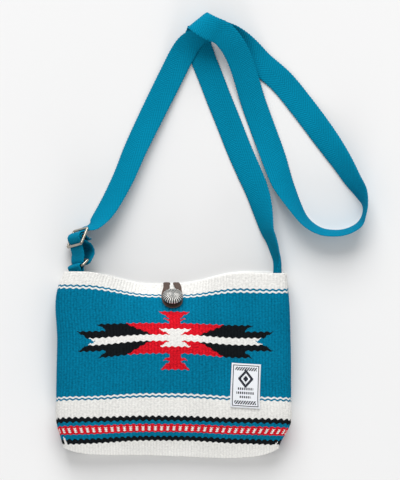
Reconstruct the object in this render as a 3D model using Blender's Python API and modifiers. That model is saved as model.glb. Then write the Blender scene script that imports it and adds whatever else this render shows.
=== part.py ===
"""Woven shoulder bag, lying on its back with its webbing strap on the floor around it.

Metres, +Z up. The bag's back rests on z = 0, +X is the bag's right as seen from the front and +Y points
to its mouth. The origin is on the floor under the middle of the front panel.
"""

from functools import lru_cache
from math import asin, cos, pi, radians, sin

import bmesh
import bpy
import numpy as np
from mathutils import Matrix, Vector

MM = 0.001
CLEARANCE = 0.35 * MM      # between pieces that touch

# Woven shell
BODY_LEFT = -0.1165        # widest point of the left side
BODY_RIGHT = 0.1170        # widest point of the right side
FRONT_HALF = (BODY_RIGHT - BODY_LEFT) / 2 * 1.06    # half the front's width, along the cloth
LEFT_MOUTH_INSET = 0.0080  # how far the mouth's left corner lies inside the widest point
RIGHT_MOUTH_INSET = 0.0045
MOUTH_Y = 0.0935           # mouth's edge at its two ends
MOUTH_DIP = 0.0120         # how far the closure draws the edge down at the middle
DIP_CENTRE = -0.0100       # where the closure draws it down
DIP_FLAT = 0.014
DIP_REACH = 0.078
BODY_DEPTH = 0.0420        # full height of the stuffed body off the floor
MOUTH_DEPTH = 0.0366       # height of the mouth near the strap ends
MOUTH_PINCH = 0.0230       # how far the closure presses the mouth's middle down
CREASE_DEPTH = 0.0310      # height of the fold between the front and the boxed bottom
BOTTOM_REACH = 0.0140      # how far the bottom panel runs out below that fold
WALL = 0.0022              # thickness of the weaving
RIDGE = 0.00035            # half the relief of the warp ridges
FRONT_COLUMNS = 72         # warp ridges and valleys across the front
LINING_WALL = 0.0008
LINING_DROP = 0.0060       # how far the lining's edge lies below the mouth's edge

# Bands of the weaving: distance down the cloth from the mouth's edge
ZIGZAG_LINE = 0.0135
FIELD_TOP = 0.0175
MOTIF_AXIS = 0.0710
FIELD_END = 0.1280
BLACK_STRIPE = 0.1500
FRONT_CLOTH = 0.1750       # length of the front panel from the mouth to the bottom fold

# Metal
WIRE = 0.0013              # radius of the ring's and slider's wire
WIRE_CORNER = 0.0016       # radius of their corners
SLIDER_PITCH = 0.0092      # from the slider's centre bar to each end bar
RING_REACH = 0.0090        # between the ring's two bars
RING_PLAY = 0.0021         # room for the ring's bar in the strap's fold
CONCHO_RADIUS = 0.0100
CONCHO_DOME = 0.0038
CONCHO_FLUTES = 24
CONCHO_STANDOFF = 0.0048   # the disc's back above the cloth
CONCHO_LEAN = radians(12.0)    # it leans up the cloth
SHANK_RADIUS = 0.0016
SHANK_FOOT = 0.0019
CONCHO_V = 0.0220          # distance down the cloth to the shank
CONCHO_T = 0.0

# Webbing and leather
STRAP_WIDTH = 0.025
WIRE_LENGTH = STRAP_WIDTH + 2 * (WIRE + 0.0005)    # of the ring's and slider's bars, between wire centres
STRAP_THICKNESS = 0.0016
STRAP_STEP = 0.0240        # length of one facet along the strap
LACE_WIDTH = 0.0062
LACE_THICKNESS = 0.0013
LACE_SPREAD = 0.0070       # half the distance between the lace's legs at the concho
LACE_DROP = 0.0058         # how far its end reaches below the shank
LABEL_WIDTH = 0.0285
LABEL_HEIGHT = 0.0450
LABEL_THICKNESS = 0.0006
LABEL_V = 0.1168           # its middle: down the cloth, and right of the cloth's middle
LABEL_X = 0.0695
LABEL_TURN = radians(-3.0)

COLOURS = {
    "field_teal": (0.004, 0.195, 0.330, 1.0),
    "strap_teal": (0.004, 0.215, 0.370, 1.0),
    "red": (0.680, 0.012, 0.022, 1.0),
    "black": (0.012, 0.012, 0.016, 1.0),
    "cream": (0.820, 0.800, 0.755, 1.0),
    "cotton": (0.700, 0.670, 0.600, 1.0),
    "leather": (0.105, 0.072, 0.058, 1.0),
    "antique_silver": (0.420, 0.420, 0.430, 1.0),
    "antique_brass": (0.430, 0.390, 0.320, 1.0),
    "label_white": (0.860, 0.870, 0.900, 1.0),
}


def clear_scene():
    for item in list(bpy.data.objects):
        bpy.data.objects.remove(item)
    for unused in list(bpy.data.meshes):
        bpy.data.meshes.remove(unused)


def material(name, roughness=0.85, metallic=0.0):
    made = bpy.data.materials.get(name) or bpy.data.materials.new(name)
    made.use_nodes = True
    shader = made.node_tree.nodes["Principled BSDF"]
    shader.inputs["Base Color"].default_value = COLOURS[name]
    shader.inputs["Roughness"].default_value = roughness
    shader.inputs["Metallic"].default_value = metallic
    made.diffuse_color = COLOURS[name]
    return made


def add_piece(name, mesh, collection, *materials):
    piece = bpy.data.objects.new(name, mesh)
    collection.objects.link(piece)
    for finish in materials:
        mesh.materials.append(finish)
    return piece


def mesh_from(name, bm):
    mesh = bpy.data.meshes.new(name)
    bm.to_mesh(mesh)
    bm.free()
    return mesh


def smooth_step(low, high, value):
    share = min(max((value - low) / (high - low), 0.0), 1.0)
    return share * share * (3.0 - 2.0 * share)


def curve_through(levels, values, at):
    """Smooth curve through the values at the levels, with slopes taken from their neighbours."""
    at = min(max(at, levels[0]), levels[-1])
    slopes = np.gradient(values, levels)
    index = min(int(np.searchsorted(levels, at, side="right")) - 1, len(levels) - 2)
    span = levels[index + 1] - levels[index]
    share = (at - levels[index]) / span
    rise = share * share * (3.0 - 2.0 * share)
    lead = share * (1.0 - share) ** 2
    trail = share * share * (share - 1.0)
    height = values[index] + (values[index + 1] - values[index]) * rise
    return height + span * (slopes[index] * lead + slopes[index + 1] * trail)


# The shell is lofted through these levels down the cloth, from the mouth to the bottom fold.
LEVELS = (0.0, ZIGZAG_LINE, MOTIF_AXIS, FIELD_END, BLACK_STRIPE, FRONT_CLOTH)
CREASE_Y = MOUTH_Y - 0.1710
LEFT_EDGE = (BODY_LEFT + LEFT_MOUTH_INSET, BODY_LEFT + 0.0025, BODY_LEFT + 0.0010, BODY_LEFT, BODY_LEFT,
             BODY_LEFT + 0.0060)
RIGHT_EDGE = (BODY_RIGHT - RIGHT_MOUTH_INSET, BODY_RIGHT - 0.0030, BODY_RIGHT - 0.0005, BODY_RIGHT,
              BODY_RIGHT, BODY_RIGHT - 0.0085)
HEIGHT = (MOUTH_DEPTH, MOUTH_DEPTH + 0.0012, BODY_DEPTH, BODY_DEPTH, BODY_DEPTH - 0.0030, CREASE_DEPTH)
PINCH = (MOUTH_PINCH, MOUTH_PINCH * 0.72, 0.0, 0.0, 0.0, 0.0)
SQUARENESS = (6.0, 5.0, 3.2, 3.4, 4.2, 4.6)
# The front's Y at each level: at its left and right ends, and the dip (-) or rise (+) at the middle.
FRONT_LEFT_Y = (MOUTH_Y, MOUTH_Y - 0.0125, MOUTH_Y - 0.0695, MOUTH_Y - 0.1234, MOUTH_Y - 0.1446,
                CREASE_Y + 0.0006)
FRONT_RIGHT_Y = (MOUTH_Y - 0.0022, MOUTH_Y - 0.0180, MOUTH_Y - 0.0690, MOUTH_Y - 0.1242,
                 MOUTH_Y - 0.1462, CREASE_Y - 0.0008)
FRONT_MID_SHIFT = (-MOUTH_DIP, -0.0080, 0.0040, 0.0029, 0.0016, 0.0026)
BACK_Y = (MOUTH_Y - 0.0006, MOUTH_Y - 0.0145, MOUTH_Y - 0.0715, MOUTH_Y - 0.1290, MOUTH_Y - 0.1520,
          CREASE_Y - BOTTOM_REACH)


def middle_pull(x):
    """One at the middle, where the closure pulls, and none past its reach."""
    return 1.0 - smooth_step(DIP_FLAT, DIP_REACH, abs(x - DIP_CENTRE))


@lru_cache(maxsize=None)
def section(v, front):
    """Half of the shell's cross-section at one level, as equal steps of arc from left to right."""
    left = curve_through(LEVELS, LEFT_EDGE, v)
    right = curve_through(LEVELS, RIGHT_EDGE, v)
    height = curve_through(LEVELS, HEIGHT, v)
    power = 2.0 / curve_through(LEVELS, SQUARENESS, v)
    seam = 0.46 * height
    angle = np.linspace(0.0, pi, 241)
    x = (left + right) / 2 - (right - left) / 2 * np.sign(np.cos(angle)) * np.abs(np.cos(angle)) ** power
    reach = np.abs(np.sin(angle)) ** power
    reach[0] = reach[-1] = 0.0
    if front:
        pinch = curve_through(LEVELS, PINCH, v)
        z = seam + (height - seam) * reach - pinch * np.array([middle_pull(value) for value in x]) * reach
    else:
        z = np.maximum(seam - 1.15 * seam * reach, 0.0)
    arc = np.concatenate(([0.0], np.cumsum(np.hypot(np.diff(x), np.diff(z)))))
    return x, z, reach, arc / arc[-1]


def shell_point(v, t, front=True):
    """Outer face of the shell: v down the cloth in metres, t from -1 at the left seam to 1 at the right."""
    x_line, z_line, reach_line, arc = section(round(v, 6), front)
    share = (t + 1.0) / 2.0
    x = float(np.interp(share, arc, x_line))
    z = float(np.interp(share, arc, z_line))
    reach = float(np.interp(share, arc, reach_line))
    across = (x - BODY_LEFT) / (BODY_RIGHT - BODY_LEFT)
    left_y, right_y = curve_through(LEVELS, FRONT_LEFT_Y, v), curve_through(LEVELS, FRONT_RIGHT_Y, v)
    front_y = left_y * (1 - across) + right_y * across
    front_y += curve_through(LEVELS, FRONT_MID_SHIFT, v) * middle_pull(x)
    back_y = curve_through(LEVELS, BACK_Y, v)
    back_y -= MOUTH_DIP * middle_pull(x) * (1.0 - smooth_step(0.0, MOTIF_AXIS, v))
    weight = 0.5 + 0.5 * reach if front else 0.5 - 0.5 * reach
    return Vector((x, back_y + (front_y - back_y) * weight, z))


def shell_frame(v, t, front=True):
    """Point, outward normal and the direction down the cloth."""
    step_v, step_t = 0.0008, 0.006
    here = shell_point(v, t, front)
    down = shell_point(min(v + step_v, FRONT_CLOTH), t, front) - shell_point(max(v - step_v, 0.0), t, front)
    along = shell_point(v, min(t + step_t, 1.0), front) - shell_point(v, max(t - step_t, -1.0), front)
    normal = down.cross(along).normalized()
    if not front:
        normal.negate()
    return here, normal, down.normalized()


def cap_point(share, t, inset=0.0):
    """Bottom panel: share runs from the front fold (0) to the back's lower edge (1)."""
    front = shell_point(FRONT_CLOTH, t, True)
    back = shell_point(FRONT_CLOTH, t, False)
    point = front.lerp(back, share)
    point.y -= (0.0030 * sin(pi * share)) - inset
    return point


# Columns of the plainer faces, as shares of the half section from the left seam (-1) to the right (1)
SIDE_MARKS = (0.86, 0.92, 0.96, 1.0)
BACK_MARKS = [-mark for mark in reversed(SIDE_MARKS)] + [-0.60, -0.20, 0.20, 0.60] + list(SIDE_MARKS)
INNER_MARKS = [-mark for mark in reversed(SIDE_MARKS)] + [-0.66, -0.44, -0.22, 0.0, 0.22, 0.44, 0.66]
INNER_MARKS += list(SIDE_MARKS)

INNER_LEVELS = (0.0135, 0.0300, 0.0520, 0.0710, 0.1000, 0.1280, 0.1500, FRONT_CLOTH)
MOTIF_LEVELS = (0.0036, 0.0080, 0.0104, 0.0174, 0.0200, 0.0242, 0.0335)


def row_levels():
    """Levels of the shell's rows: every edge of a band or of the motif has one."""
    rows = [0.0, 0.0065, ZIGZAG_LINE, ZIGZAG_LINE + 0.0020, FIELD_TOP, 0.0280]
    rows += [MOTIF_AXIS - level for level in reversed(MOTIF_LEVELS)] + [MOTIF_AXIS]
    rows += [MOTIF_AXIS + level for level in MOTIF_LEVELS]
    rows += [0.1160, FIELD_END, FIELD_END + 0.0020, FIELD_END + 0.0042, 0.1410]
    rows += [BLACK_STRIPE + step for step in (0.0, 0.0042, 0.0078, 0.0094, 0.0144, 0.0162, 0.0204)]
    return rows + [FRONT_CLOTH]


def motif_colour(u, rise):
    """Stepped star of the field: u and rise are distances from its centre along and across the weft."""
    u, rise = abs(u), abs(rise)
    if rise < 0.0036:
        return "cream" if u < 0.0825 + 2.2 * rise else None
    if rise < 0.0104 and u < 0.0070 + 1.7 * (rise - 0.0045):
        return "cream"
    if rise < 0.0174:
        if u < 0.0270 + 1.85 * (rise - 0.0050):
            return "red"
        if rise < 0.0104:
            return "black" if u < 0.0920 + 1.5 * (rise - 0.0040) else None
        return "black" if u < 0.0720 + 1.5 * max(rise - 0.0120, 0.0) else None
    if rise < 0.0242:
        return "red" if u < 0.0070 + 2.2 * max(rise - 0.0195, 0.0) else None
    if rise < 0.0335:
        return "red" if u < 0.0065 + 1.2 * (rise - 0.0245) else None
    return None


def cloth_colour(v, t, column, front):
    """Colour of the weaving between two rows and two warp columns."""
    if v < ZIGZAG_LINE or ZIGZAG_LINE + 0.0020 < v < FIELD_TOP:
        return "cream"
    if v < FIELD_END:
        star = motif_colour(t * FRONT_HALF, v - MOTIF_AXIS) if front and v > FIELD_TOP else None
        return star or "field_teal"
    if v < FIELD_END + 0.0020:
        return "cream"
    if v < FIELD_END + 0.0042:
        return "field_teal"
    if v < BLACK_STRIPE:
        return "cream"
    depth = v - BLACK_STRIPE
    if depth < 0.0042 or depth > 0.0204:
        return "black"
    if depth < 0.0078 or depth > 0.0162:
        return "field_teal"
    dash = 0.0094 < depth < 0.0144 and column % 2 == 0
    return "cream" if dash else "red"


def zip_lines(bm, first, second, first_marks, second_marks, colour):
    """Close the strip between two lines with different numbers of points, matched by their marks."""
    i = j = 0
    while i < len(first) - 1 or j < len(second) - 1:
        ahead = first_marks[i + 1] if i < len(first) - 1 else 9.0
        other = second_marks[j + 1] if j < len(second) - 1 else 9.0
        if ahead <= other + 1e-9:
            corners = (first[i], first[i + 1], second[j])
            i += 1
        else:
            corners = (first[i], second[j + 1], second[j])
            j += 1
        if len(set(corners)) == 3:
            bm.faces.new(corners).material_index = colour


def squeeze(place, inset):
    """Draw a point of the bottom in from the side seams, so that each layer's corner clears the next."""
    return Vector((place.x * (1.0 - 10.0 * inset), place.y, place.z))


def shell_ring(bm, v, front_marks, inset, ridged, last):
    """Points round the shell at one level: the front from left to right, then the back to the left."""
    ring = []
    for step, t in enumerate(front_marks):
        point, normal, down = shell_frame(v, t, True)
        if abs(t) > 0.995:
            normal = Vector((-1.0 if t < 0 else 1.0, 0.0, 0.0))
        elif ridged:
            point = point + normal * (RIDGE if step % 2 else -RIDGE)
        ring.append(point - normal * inset)
    for t in reversed(BACK_MARKS[1:-1]):
        point, normal, down = shell_frame(v, t, False)
        place = point - normal * inset
        if point.z < 1e-6:
            place = Vector((point.x, point.y, inset))
        ring.append(place)
    if last:
        ring = [squeeze(place + Vector((0.0, inset, 0.0)), inset) for place in ring]
    return [bm.verts.new(place) for place in ring]


def shell_face(bm, rows, front_marks, inset, ridged, palette):
    """One face of the shell as rings of points, with its bottom panel. Returns the ring at the mouth."""
    rings = [shell_ring(bm, v, front_marks, inset, ridged, v == rows[-1]) for v in rows]
    around = len(rings[0])
    for index in range(len(rows) - 1):
        middle_v = (rows[index] + rows[index + 1]) / 2
        for step in range(around):
            after = (step + 1) % around
            front = step < len(front_marks) - 1
            t = (front_marks[step] + front_marks[step + 1]) / 2 if front else 0.0
            colour = palette.index(cloth_colour(middle_v, t, step, front)) if len(palette) > 1 else 0
            near, far = rings[index], rings[index + 1]
            bm.faces.new((near[step], far[step], far[after])).material_index = colour
            bm.faces.new((near[step], far[after], near[after])).material_index = colour
    split = len(front_marks)
    front_line = rings[-1][:split]
    back_line = [front_line[0]] + list(reversed(rings[-1][split:])) + [front_line[-1]]
    lines = []
    for share in (0.34, 0.67):
        inner = [bm.verts.new(squeeze(cap_point(share, t, inset), inset)) for t in BACK_MARKS[1:-1]]
        lines.append([front_line[0]] + inner + [front_line[-1]])
    lines.append(back_line)
    cream = palette.index("cream") if len(palette) > 1 else 0
    zip_lines(bm, front_line, lines[0], front_marks, BACK_MARKS, cream)
    for upper, lower in zip(lines, lines[1:]):
        zip_lines(bm, upper, lower, BACK_MARKS, BACK_MARKS, cream)
    return rings[0]


def shell_solid(name, collection, rows, front_marks, outer_inset, wall, ridged, palette):
    """A shell open at the mouth: a detailed outer face, a plain inner face and the rim between them."""
    bm = bmesh.new()
    outer = shell_face(bm, rows, front_marks, outer_inset, ridged, palette)
    outer_faces = set(bm.faces)
    inner_rows = [rows[0]] + [LINING_DROP] * ridged + list(INNER_LEVELS)
    inner = shell_face(bm, inner_rows, INNER_MARKS, outer_inset + wall, False, ["one"])
    cream = palette.index("cream") if len(palette) > 1 else 0
    for face in set(bm.faces) - outer_faces:
        face.material_index = cream
    back_marks = [-mark for mark in reversed(BACK_MARKS)]
    zip_lines(bm, outer[:len(front_marks)], inner[:len(INNER_MARKS)], front_marks, INNER_MARKS, cream)
    zip_lines(bm, outer[len(front_marks) - 1:] + [outer[0]], inner[len(INNER_MARKS) - 1:] + [inner[0]],
              back_marks, back_marks, cream)
    bmesh.ops.recalc_face_normals(bm, faces=bm.faces)
    materials = [material(colour) for colour in palette] if len(palette) > 1 else [material("cotton")]
    return add_piece(name, mesh_from(name, bm), collection, *materials)


def build_body(collection):
    palette = ["cream", "field_teal", "red", "black"]
    marks = [-1.0 + 2.0 * step / FRONT_COLUMNS for step in range(FRONT_COLUMNS + 1)]
    return shell_solid("woven_body", collection, row_levels(), marks, 0.0, WALL, True, palette)


def build_lining(collection):
    rows = [LINING_DROP] + list(INNER_LEVELS)
    inset = WALL + CLEARANCE
    return shell_solid("lining", collection, rows, INNER_MARKS, inset, LINING_WALL, False, ["one"])


def spline_stations(stations, step):
    """Points read from a smooth curve through the stations (position, width direction, cup angle)."""
    places = np.array([list(place) + list(across) + [cup] for place, across, cup in stations])
    chords = np.sqrt(np.linalg.norm(np.diff(places[:, :3], axis=0), axis=1))
    knots = np.concatenate(([0.0], np.cumsum(chords)))
    fine = []
    for index in range(len(places) - 1):
        before = places[index - 1] if index else 2 * places[0] - places[1]
        after = places[index + 2] if index + 2 < len(places) else 2 * places[-1] - places[-2]
        k0 = knots[index] - (chords[index - 1] if index else chords[0])
        k1, k2 = knots[index], knots[index + 1]
        k3 = k2 + (chords[index + 1] if index + 1 < len(chords) else chords[-1])
        for part in range(12):
            k = k1 + (k2 - k1) * part / 12
            a1 = (k1 - k) / (k1 - k0) * before + (k - k0) / (k1 - k0) * places[index]
            a2 = (k2 - k) / (k2 - k1) * places[index] + (k - k1) / (k2 - k1) * places[index + 1]
            a3 = (k3 - k) / (k3 - k2) * places[index + 1] + (k - k2) / (k3 - k2) * after
            b1 = (k2 - k) / (k2 - k0) * a1 + (k - k0) / (k2 - k0) * a2
            b2 = (k3 - k) / (k3 - k1) * a2 + (k - k1) / (k3 - k1) * a3
            fine.append((k2 - k) / (k2 - k1) * b1 + (k - k1) / (k2 - k1) * b2)
    fine = np.array(fine + [places[-1]])
    return space_points(fine, step)


def space_points(fine, step):
    """Thin a fine line to facets: long where it runs straight and short where it bends or twists."""
    moves = np.linalg.norm(np.diff(fine[:, :3], axis=0), axis=1)
    heading = np.diff(fine[:, :3], axis=0) / np.maximum(moves, 1e-9)[:, None]
    turn = np.linalg.norm(np.diff(heading, axis=0), axis=1)
    twist = np.linalg.norm(np.diff(fine[:, 3:6], axis=0), axis=1)
    cost = moves / step + np.concatenate((turn, [0.0])) / radians(30.0) + twist / radians(36.0)
    total = np.concatenate(([0.0], np.cumsum(cost)))
    count = max(int(round(total[-1])), 2)
    marks = np.linspace(0.0, total[-1], count + 1)
    return np.stack([np.interp(marks, total, fine[:, axis]) for axis in range(fine.shape[1])], axis=1)


def ribbon(name, stations, width, thickness, step, columns, collection, finish):
    """Flat webbing or lace swept along its stations, cupped across its width where they say so."""
    line = spline_stations(stations, step)
    bm = bmesh.new()
    bmesh.ops.create_grid(bm, x_segments=columns, y_segments=len(line) - 1, size=0.5)
    bm.verts.ensure_lookup_table()
    headings = np.gradient(line[:, :3], axis=0)
    for vert in bm.verts:
        row = round((vert.co.y + 0.5) * (len(line) - 1))
        share = vert.co.x
        centre = Vector(line[row, :3])
        heading = Vector(headings[row]).normalized()
        across = Vector(line[row, 3:6])
        across = (across - heading * across.dot(heading)).normalized()
        normal = across.cross(heading)
        cup = line[row, 6]
        if abs(cup) > 0.05:
            radius = width / cup
            angle = share * cup
            rise = radius * (cos(angle) - cos(cup / 4))
            vert.co = centre + across * (radius * sin(angle)) + normal * rise
        else:
            vert.co = centre + across * (share * width)
    piece = add_piece(name, mesh_from(name, bm), collection, finish)
    wall = piece.modifiers.new("wall", "SOLIDIFY")
    wall.thickness = thickness
    wall.offset = 0.0
    wall.use_even_offset = False
    return piece


def wire(name, points, radius, collection, finish, closed=True):
    """Bent wire: a closed loop or a straight bar of round section."""
    curve = bpy.data.curves.new(name, "CURVE")
    curve.dimensions = "3D"
    curve.bevel_depth = radius
    curve.bevel_resolution = 2
    curve.use_fill_caps = not closed
    spline = curve.splines.new("POLY")
    spline.points.add(len(points) - 1)
    for target, point in zip(spline.points, points):
        target.co = (*point, 1.0)
    spline.use_cyclic_u = closed
    piece = bpy.data.objects.new(name, curve)
    collection.objects.link(piece)
    curve.materials.append(finish)
    return piece


def rounded_loop(centre, along, across, half_length, half_width, corner):
    """Rectangle of wire with rounded corners, as points in the plane of along and across."""
    points = []
    for quarter, (sign_a, sign_w) in enumerate(((1, 1), (-1, 1), (-1, -1), (1, -1))):
        for part in range(4):
            angle = (quarter + part / 3.0) * pi / 2
            a = sign_a * (half_length - corner) + corner * cos(angle)
            w = sign_w * (half_width - corner) + corner * sin(angle)
            points.append(centre + along * a + across * w)
    return points


# Left adjuster: the slider, the ring and the tab share the direction of their bars, which stand nearly on
# end, so the layers of webbing between them are read in one plane across those bars.
LEFT_ANCHOR = Vector((BODY_LEFT + 0.0130, MOUTH_Y, 0.0))    # side seam at the mouth's left corner
RIGHT_ANCHOR = Vector((BODY_RIGHT - 0.0115, MOUTH_Y, 0.0))
SLIDER_CENTRE = LEFT_ANCHOR + Vector((0.0080, 0.0340, 0.0178))
BAR_LINE = Vector((-0.487, -0.126, -0.863)).normalized()
SLIDER_ALONG = Vector((-0.355, -0.875, 0.328)).normalized()
SLIDER_FACE = BAR_LINE.cross(SLIDER_ALONG).normalized()
FAR_BAR = (18.5, -14.9, 3.4)      # the ring's bar in the strap, as slider_place reads it
RING_TURN = 20.0                  # degrees from the slider's plane to the ring's


def slider_place(a, n, w=0.0):
    """Millimetres along the slider (towards the ring), out of its face and along its bars."""
    return SLIDER_CENTRE + SLIDER_ALONG * (a * MM) + SLIDER_FACE * (n * MM) + BAR_LINE * (w * MM)


def ring_place(reach, angle):
    """Point at a distance from the ring's far bar, in degrees from the slider's plane."""
    a, n, w = FAR_BAR
    return slider_place(a + reach * cos(radians(angle)) / MM, n + reach * sin(radians(angle)) / MM, w)


def across_at(azimuth, tilt):
    """Direction of the strap's width, from its azimuth in plan and its tilt above the floor."""
    flat = cos(radians(tilt))
    return Vector((flat * cos(radians(azimuth)), flat * sin(radians(azimuth)), sin(radians(tilt))))


# Route of the strap over the floor, chosen by hand: millimetres from the left or right anchor at the
# mouth (X, Y) and above the floor (Z), then the width's azimuth and tilt in degrees and the cup.
FIRST_RUN = (
    (24.0, 46.8, 13.6, -15, 57), (35.0, 59.5, 11.6, -30, 44), (52.5, 91.5, 8.0, -24, 32),
    (65.2, 121.5, 6.4, -24, 24), (79.5, 151.5, 5.0, -27, 16),
)
REST_OF_STRAP = (
    (-115.2, 180.5, 3.9, -28, 8), (-105.2, 200.5, 3.9, -29, 2), (-96.5, 217.5, 5.8, -33, -10),
    (-89.5, 228.0, 9.5, -45, -28), (-80.5, 235.0, 13.4, -62, -45), (-71.5, 240.0, 14.2, -80, -52),
    (-61.5, 241.5, 12.6, -98, -48), (-50.5, 237.8, 9.0, -115, -36), (-41.0, 231.2, 6.2, -130, -22),
    (-30.0, 220.8, 3.6, -138, -8), (-18.6, 208.6, 1.7, -137, 0), (2.5, 190.0, 1.2, -136, 0),
    (21.9, 166.5, 1.3, -143, 0), (41.4, 140.5, 3.4, -145, -10), (61.5, 111.5, 8.2, -147, -33),
    (73.0, 92.5, 10.4, -149, -47), (82.0, 78.5, 12.0, -153, -60), (85.8, 66.5, 13.2, -165, -79),
    (84.5, 56.0, 13.3, -190, -83), (80.5, 47.5, 13.3, -215, -78), (71.5, 41.5, 13.3, -245, -77),
    (61.5, 38.7, 13.2, -265, -76), (51.5, 38.5, 13.1, -273, -75), (41.5, 40.2, 12.9, -287, -73),
    (31.5, 45.5, 12.6, -303, -70), (24.0, 52.5, 12.2, -315, -66), (15.5, 65.5, 11.3, -327, -56),
    (8.0, 79.0, 9.6, -333, -42), (2.5, 90.5, 7.6, -336, -30), (-6.5, 116.5, 3.4, -338, -10),
    (-16.5, 143.5, 1.6, -340, 0), (-26.5, 171.5, 3.0, -340, 0), (-34.5, 198.5, 8.0, -338, 0),
    (-40.5, 214.5, 13.0, -335, 2), (-47.5, 227.0, 18.5, -327, 2), (-57.0, 237.5, 23.5, -318, 1),
    (-67.5, 242.0, 27.4, -318, 0), (-75.0, 246.0, 27.2, -321, 0), (-80.3, 249.7, 22.6, -321, 0),
    (-81.7, 250.6, 14.4, -321, 0), (-80.8, 249.6, 7.4, -321, 0), (-79.2, 245.8, 6.4, -324, 0),
    (-81.5, 236.0, 3.2, -330, 0), (-79.5, 224.0, 1.7, -337, 0), (-75.4, 211.5, 1.3, -338, 0),
    (-69.3, 196.5, 1.3, -338, 0), (-60.0, 172.5, 1.2, -338, 0), (-51.5, 151.5, 1.2, -338, 0),
    (-39.7, 121.5, 1.5, -338, 3), (-30.5, 100.5, 3.0, -338, 9), (-22.3, 81.5, 5.6, -340, 21),
    (-17.1, 64.5, 8.4, -344, 35), (-14.1, 51.5, 10.4, -346, 48), (-11.5, 40.5, 12.0, -345, 59),
    (-7.8, 31.5, 13.0, -342, 64), (-4.1, 21.5, 14.2, -342, 68), (-0.6, 11.5, 15.0, -345, 74),
    (0.0, 2.0, 15.7, -350, 80), (-0.4, -6.5, 15.9, -350, 82), (-0.8, -15.5, 15.9, -350, 82),
)
CUP_START = 58             # the strap cups into the side seam from this station of the route on
CUP_FULL = radians(125.0)


def strap_stations():
    """The whole strap, from its sewn end at the slider's centre bar to its end in the right side seam."""
    across = -BAR_LINE
    loop = (WIRE + CLEARANCE + STRAP_THICKNESS / 2) / MM
    under = -(WIRE + 2 * CLEARANCE + STRAP_THICKNESS / 2) / MM
    over = loop + (STRAP_THICKNESS + CLEARANCE) / MM
    pitch = SLIDER_PITCH / MM
    bight = WIRE + RING_PLAY + STRAP_THICKNESS / 2
    stations = [(slider_place(*place), across, 0.0) for place in (
        (-1.6, -9.4), (-1.0, -6.6), (-1.9, -3.2), (-loop, 0.0), (-0.7 * loop, 0.7 * loop), (0.0, loop),
        (0.7 * loop, 0.7 * loop), (loop, 0.0), (2.9, -3.2), (2.7, -7.0), (3.4, -12.0), (8.0, -17.6, 0.6))]
    for angle in (-95, -62, -25, 12, 52):
        stations.append((ring_place(bight, angle), across, 0.0))
    stations += [(slider_place(*place), across, 0.0) for place in (
        (15.0, -7.6, 1.0), (pitch, under), (pitch - 2.4, -2.0), (5.2, 0.9), (2.0, over - 0.1),
        (-2.0, over - 0.1), (-5.2, 0.9), (2.4 - pitch, -2.0), (-pitch, under - 0.7, -0.3),
        (-pitch - 2.6, under - 1.2, -0.8))]
    for x, y, z, azimuth, tilt in FIRST_RUN:
        place = Vector((LEFT_ANCHOR.x + x * MM, LEFT_ANCHOR.y + y * MM, z * MM))
        stations.append((place, across_at(azimuth, tilt), 0.0))
    for index, (x, y, z, azimuth, tilt) in enumerate(REST_OF_STRAP):
        place = Vector((RIGHT_ANCHOR.x + x * MM, RIGHT_ANCHOR.y + y * MM, z * MM))
        cup = CUP_FULL * smooth_step(CUP_START - 4, CUP_START, index)
        stations.append((place, across_at(azimuth, tilt), cup))
    return stations


def build_strap(collection):
    finish = material("strap_teal", 0.9)
    stations = strap_stations()
    return ribbon("strap", stations, STRAP_WIDTH, STRAP_THICKNESS, STRAP_STEP, 4, collection, finish)


def build_adjuster(collection):
    """Ring, slider frame and the slider's own bar."""
    metal = material("antique_brass", 0.35, 1.0)
    half = WIRE_LENGTH / 2
    ring_along = (ring_place(RING_REACH, RING_TURN) - ring_place(0.0, 0.0)).normalized()
    ring_middle = ring_place(RING_REACH / 2, RING_TURN)
    ring = rounded_loop(ring_middle, ring_along, BAR_LINE, RING_REACH / 2, half, WIRE_CORNER)
    wire("square_ring", ring, WIRE, collection, metal)
    frame = rounded_loop(SLIDER_CENTRE, SLIDER_ALONG, BAR_LINE, SLIDER_PITCH, half, WIRE_CORNER)
    wire("slider_frame", frame, WIRE, collection, metal)
    reach = half - WIRE - CLEARANCE
    ends = [SLIDER_CENTRE - BAR_LINE * reach, SLIDER_CENTRE + BAR_LINE * reach]
    wire("slider_bar", ends, WIRE, collection, metal, closed=False)


def build_tab(collection):
    """Webbing tab: both layers come out of the left side seam and fold round the ring's near bar."""
    bar = ring_place(RING_REACH, RING_TURN)
    root = Vector((BODY_LEFT + 0.0225, MOUTH_Y - 0.0165, 0.0168))
    pull = root - bar
    pull = (pull - BAR_LINE * pull.dot(BAR_LINE)).normalized()
    side = pull.cross(BAR_LINE).normalized()
    bend = WIRE + CLEARANCE + STRAP_THICKNESS / 2
    layer = side * ((STRAP_THICKNESS + 2 * CLEARANCE) / 2)
    waist = bar.lerp(root, 0.45)
    stations = [(root + layer, BAR_LINE, 0.0), (waist + layer, BAR_LINE, 0.0)]
    for angle in (55, 90, 135, 180, 225, 270, 305):
        turn = radians(angle)
        stations.append((bar + (pull * cos(turn) + side * sin(turn)) * bend, BAR_LINE, 0.0))
    stations += [(waist - layer, BAR_LINE, 0.0), (root - layer, BAR_LINE, 0.0)]
    return ribbon("ring_tab", stations, STRAP_WIDTH, STRAP_THICKNESS, 0.012, 2, collection,
                  material("strap_teal", 0.9))


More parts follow.
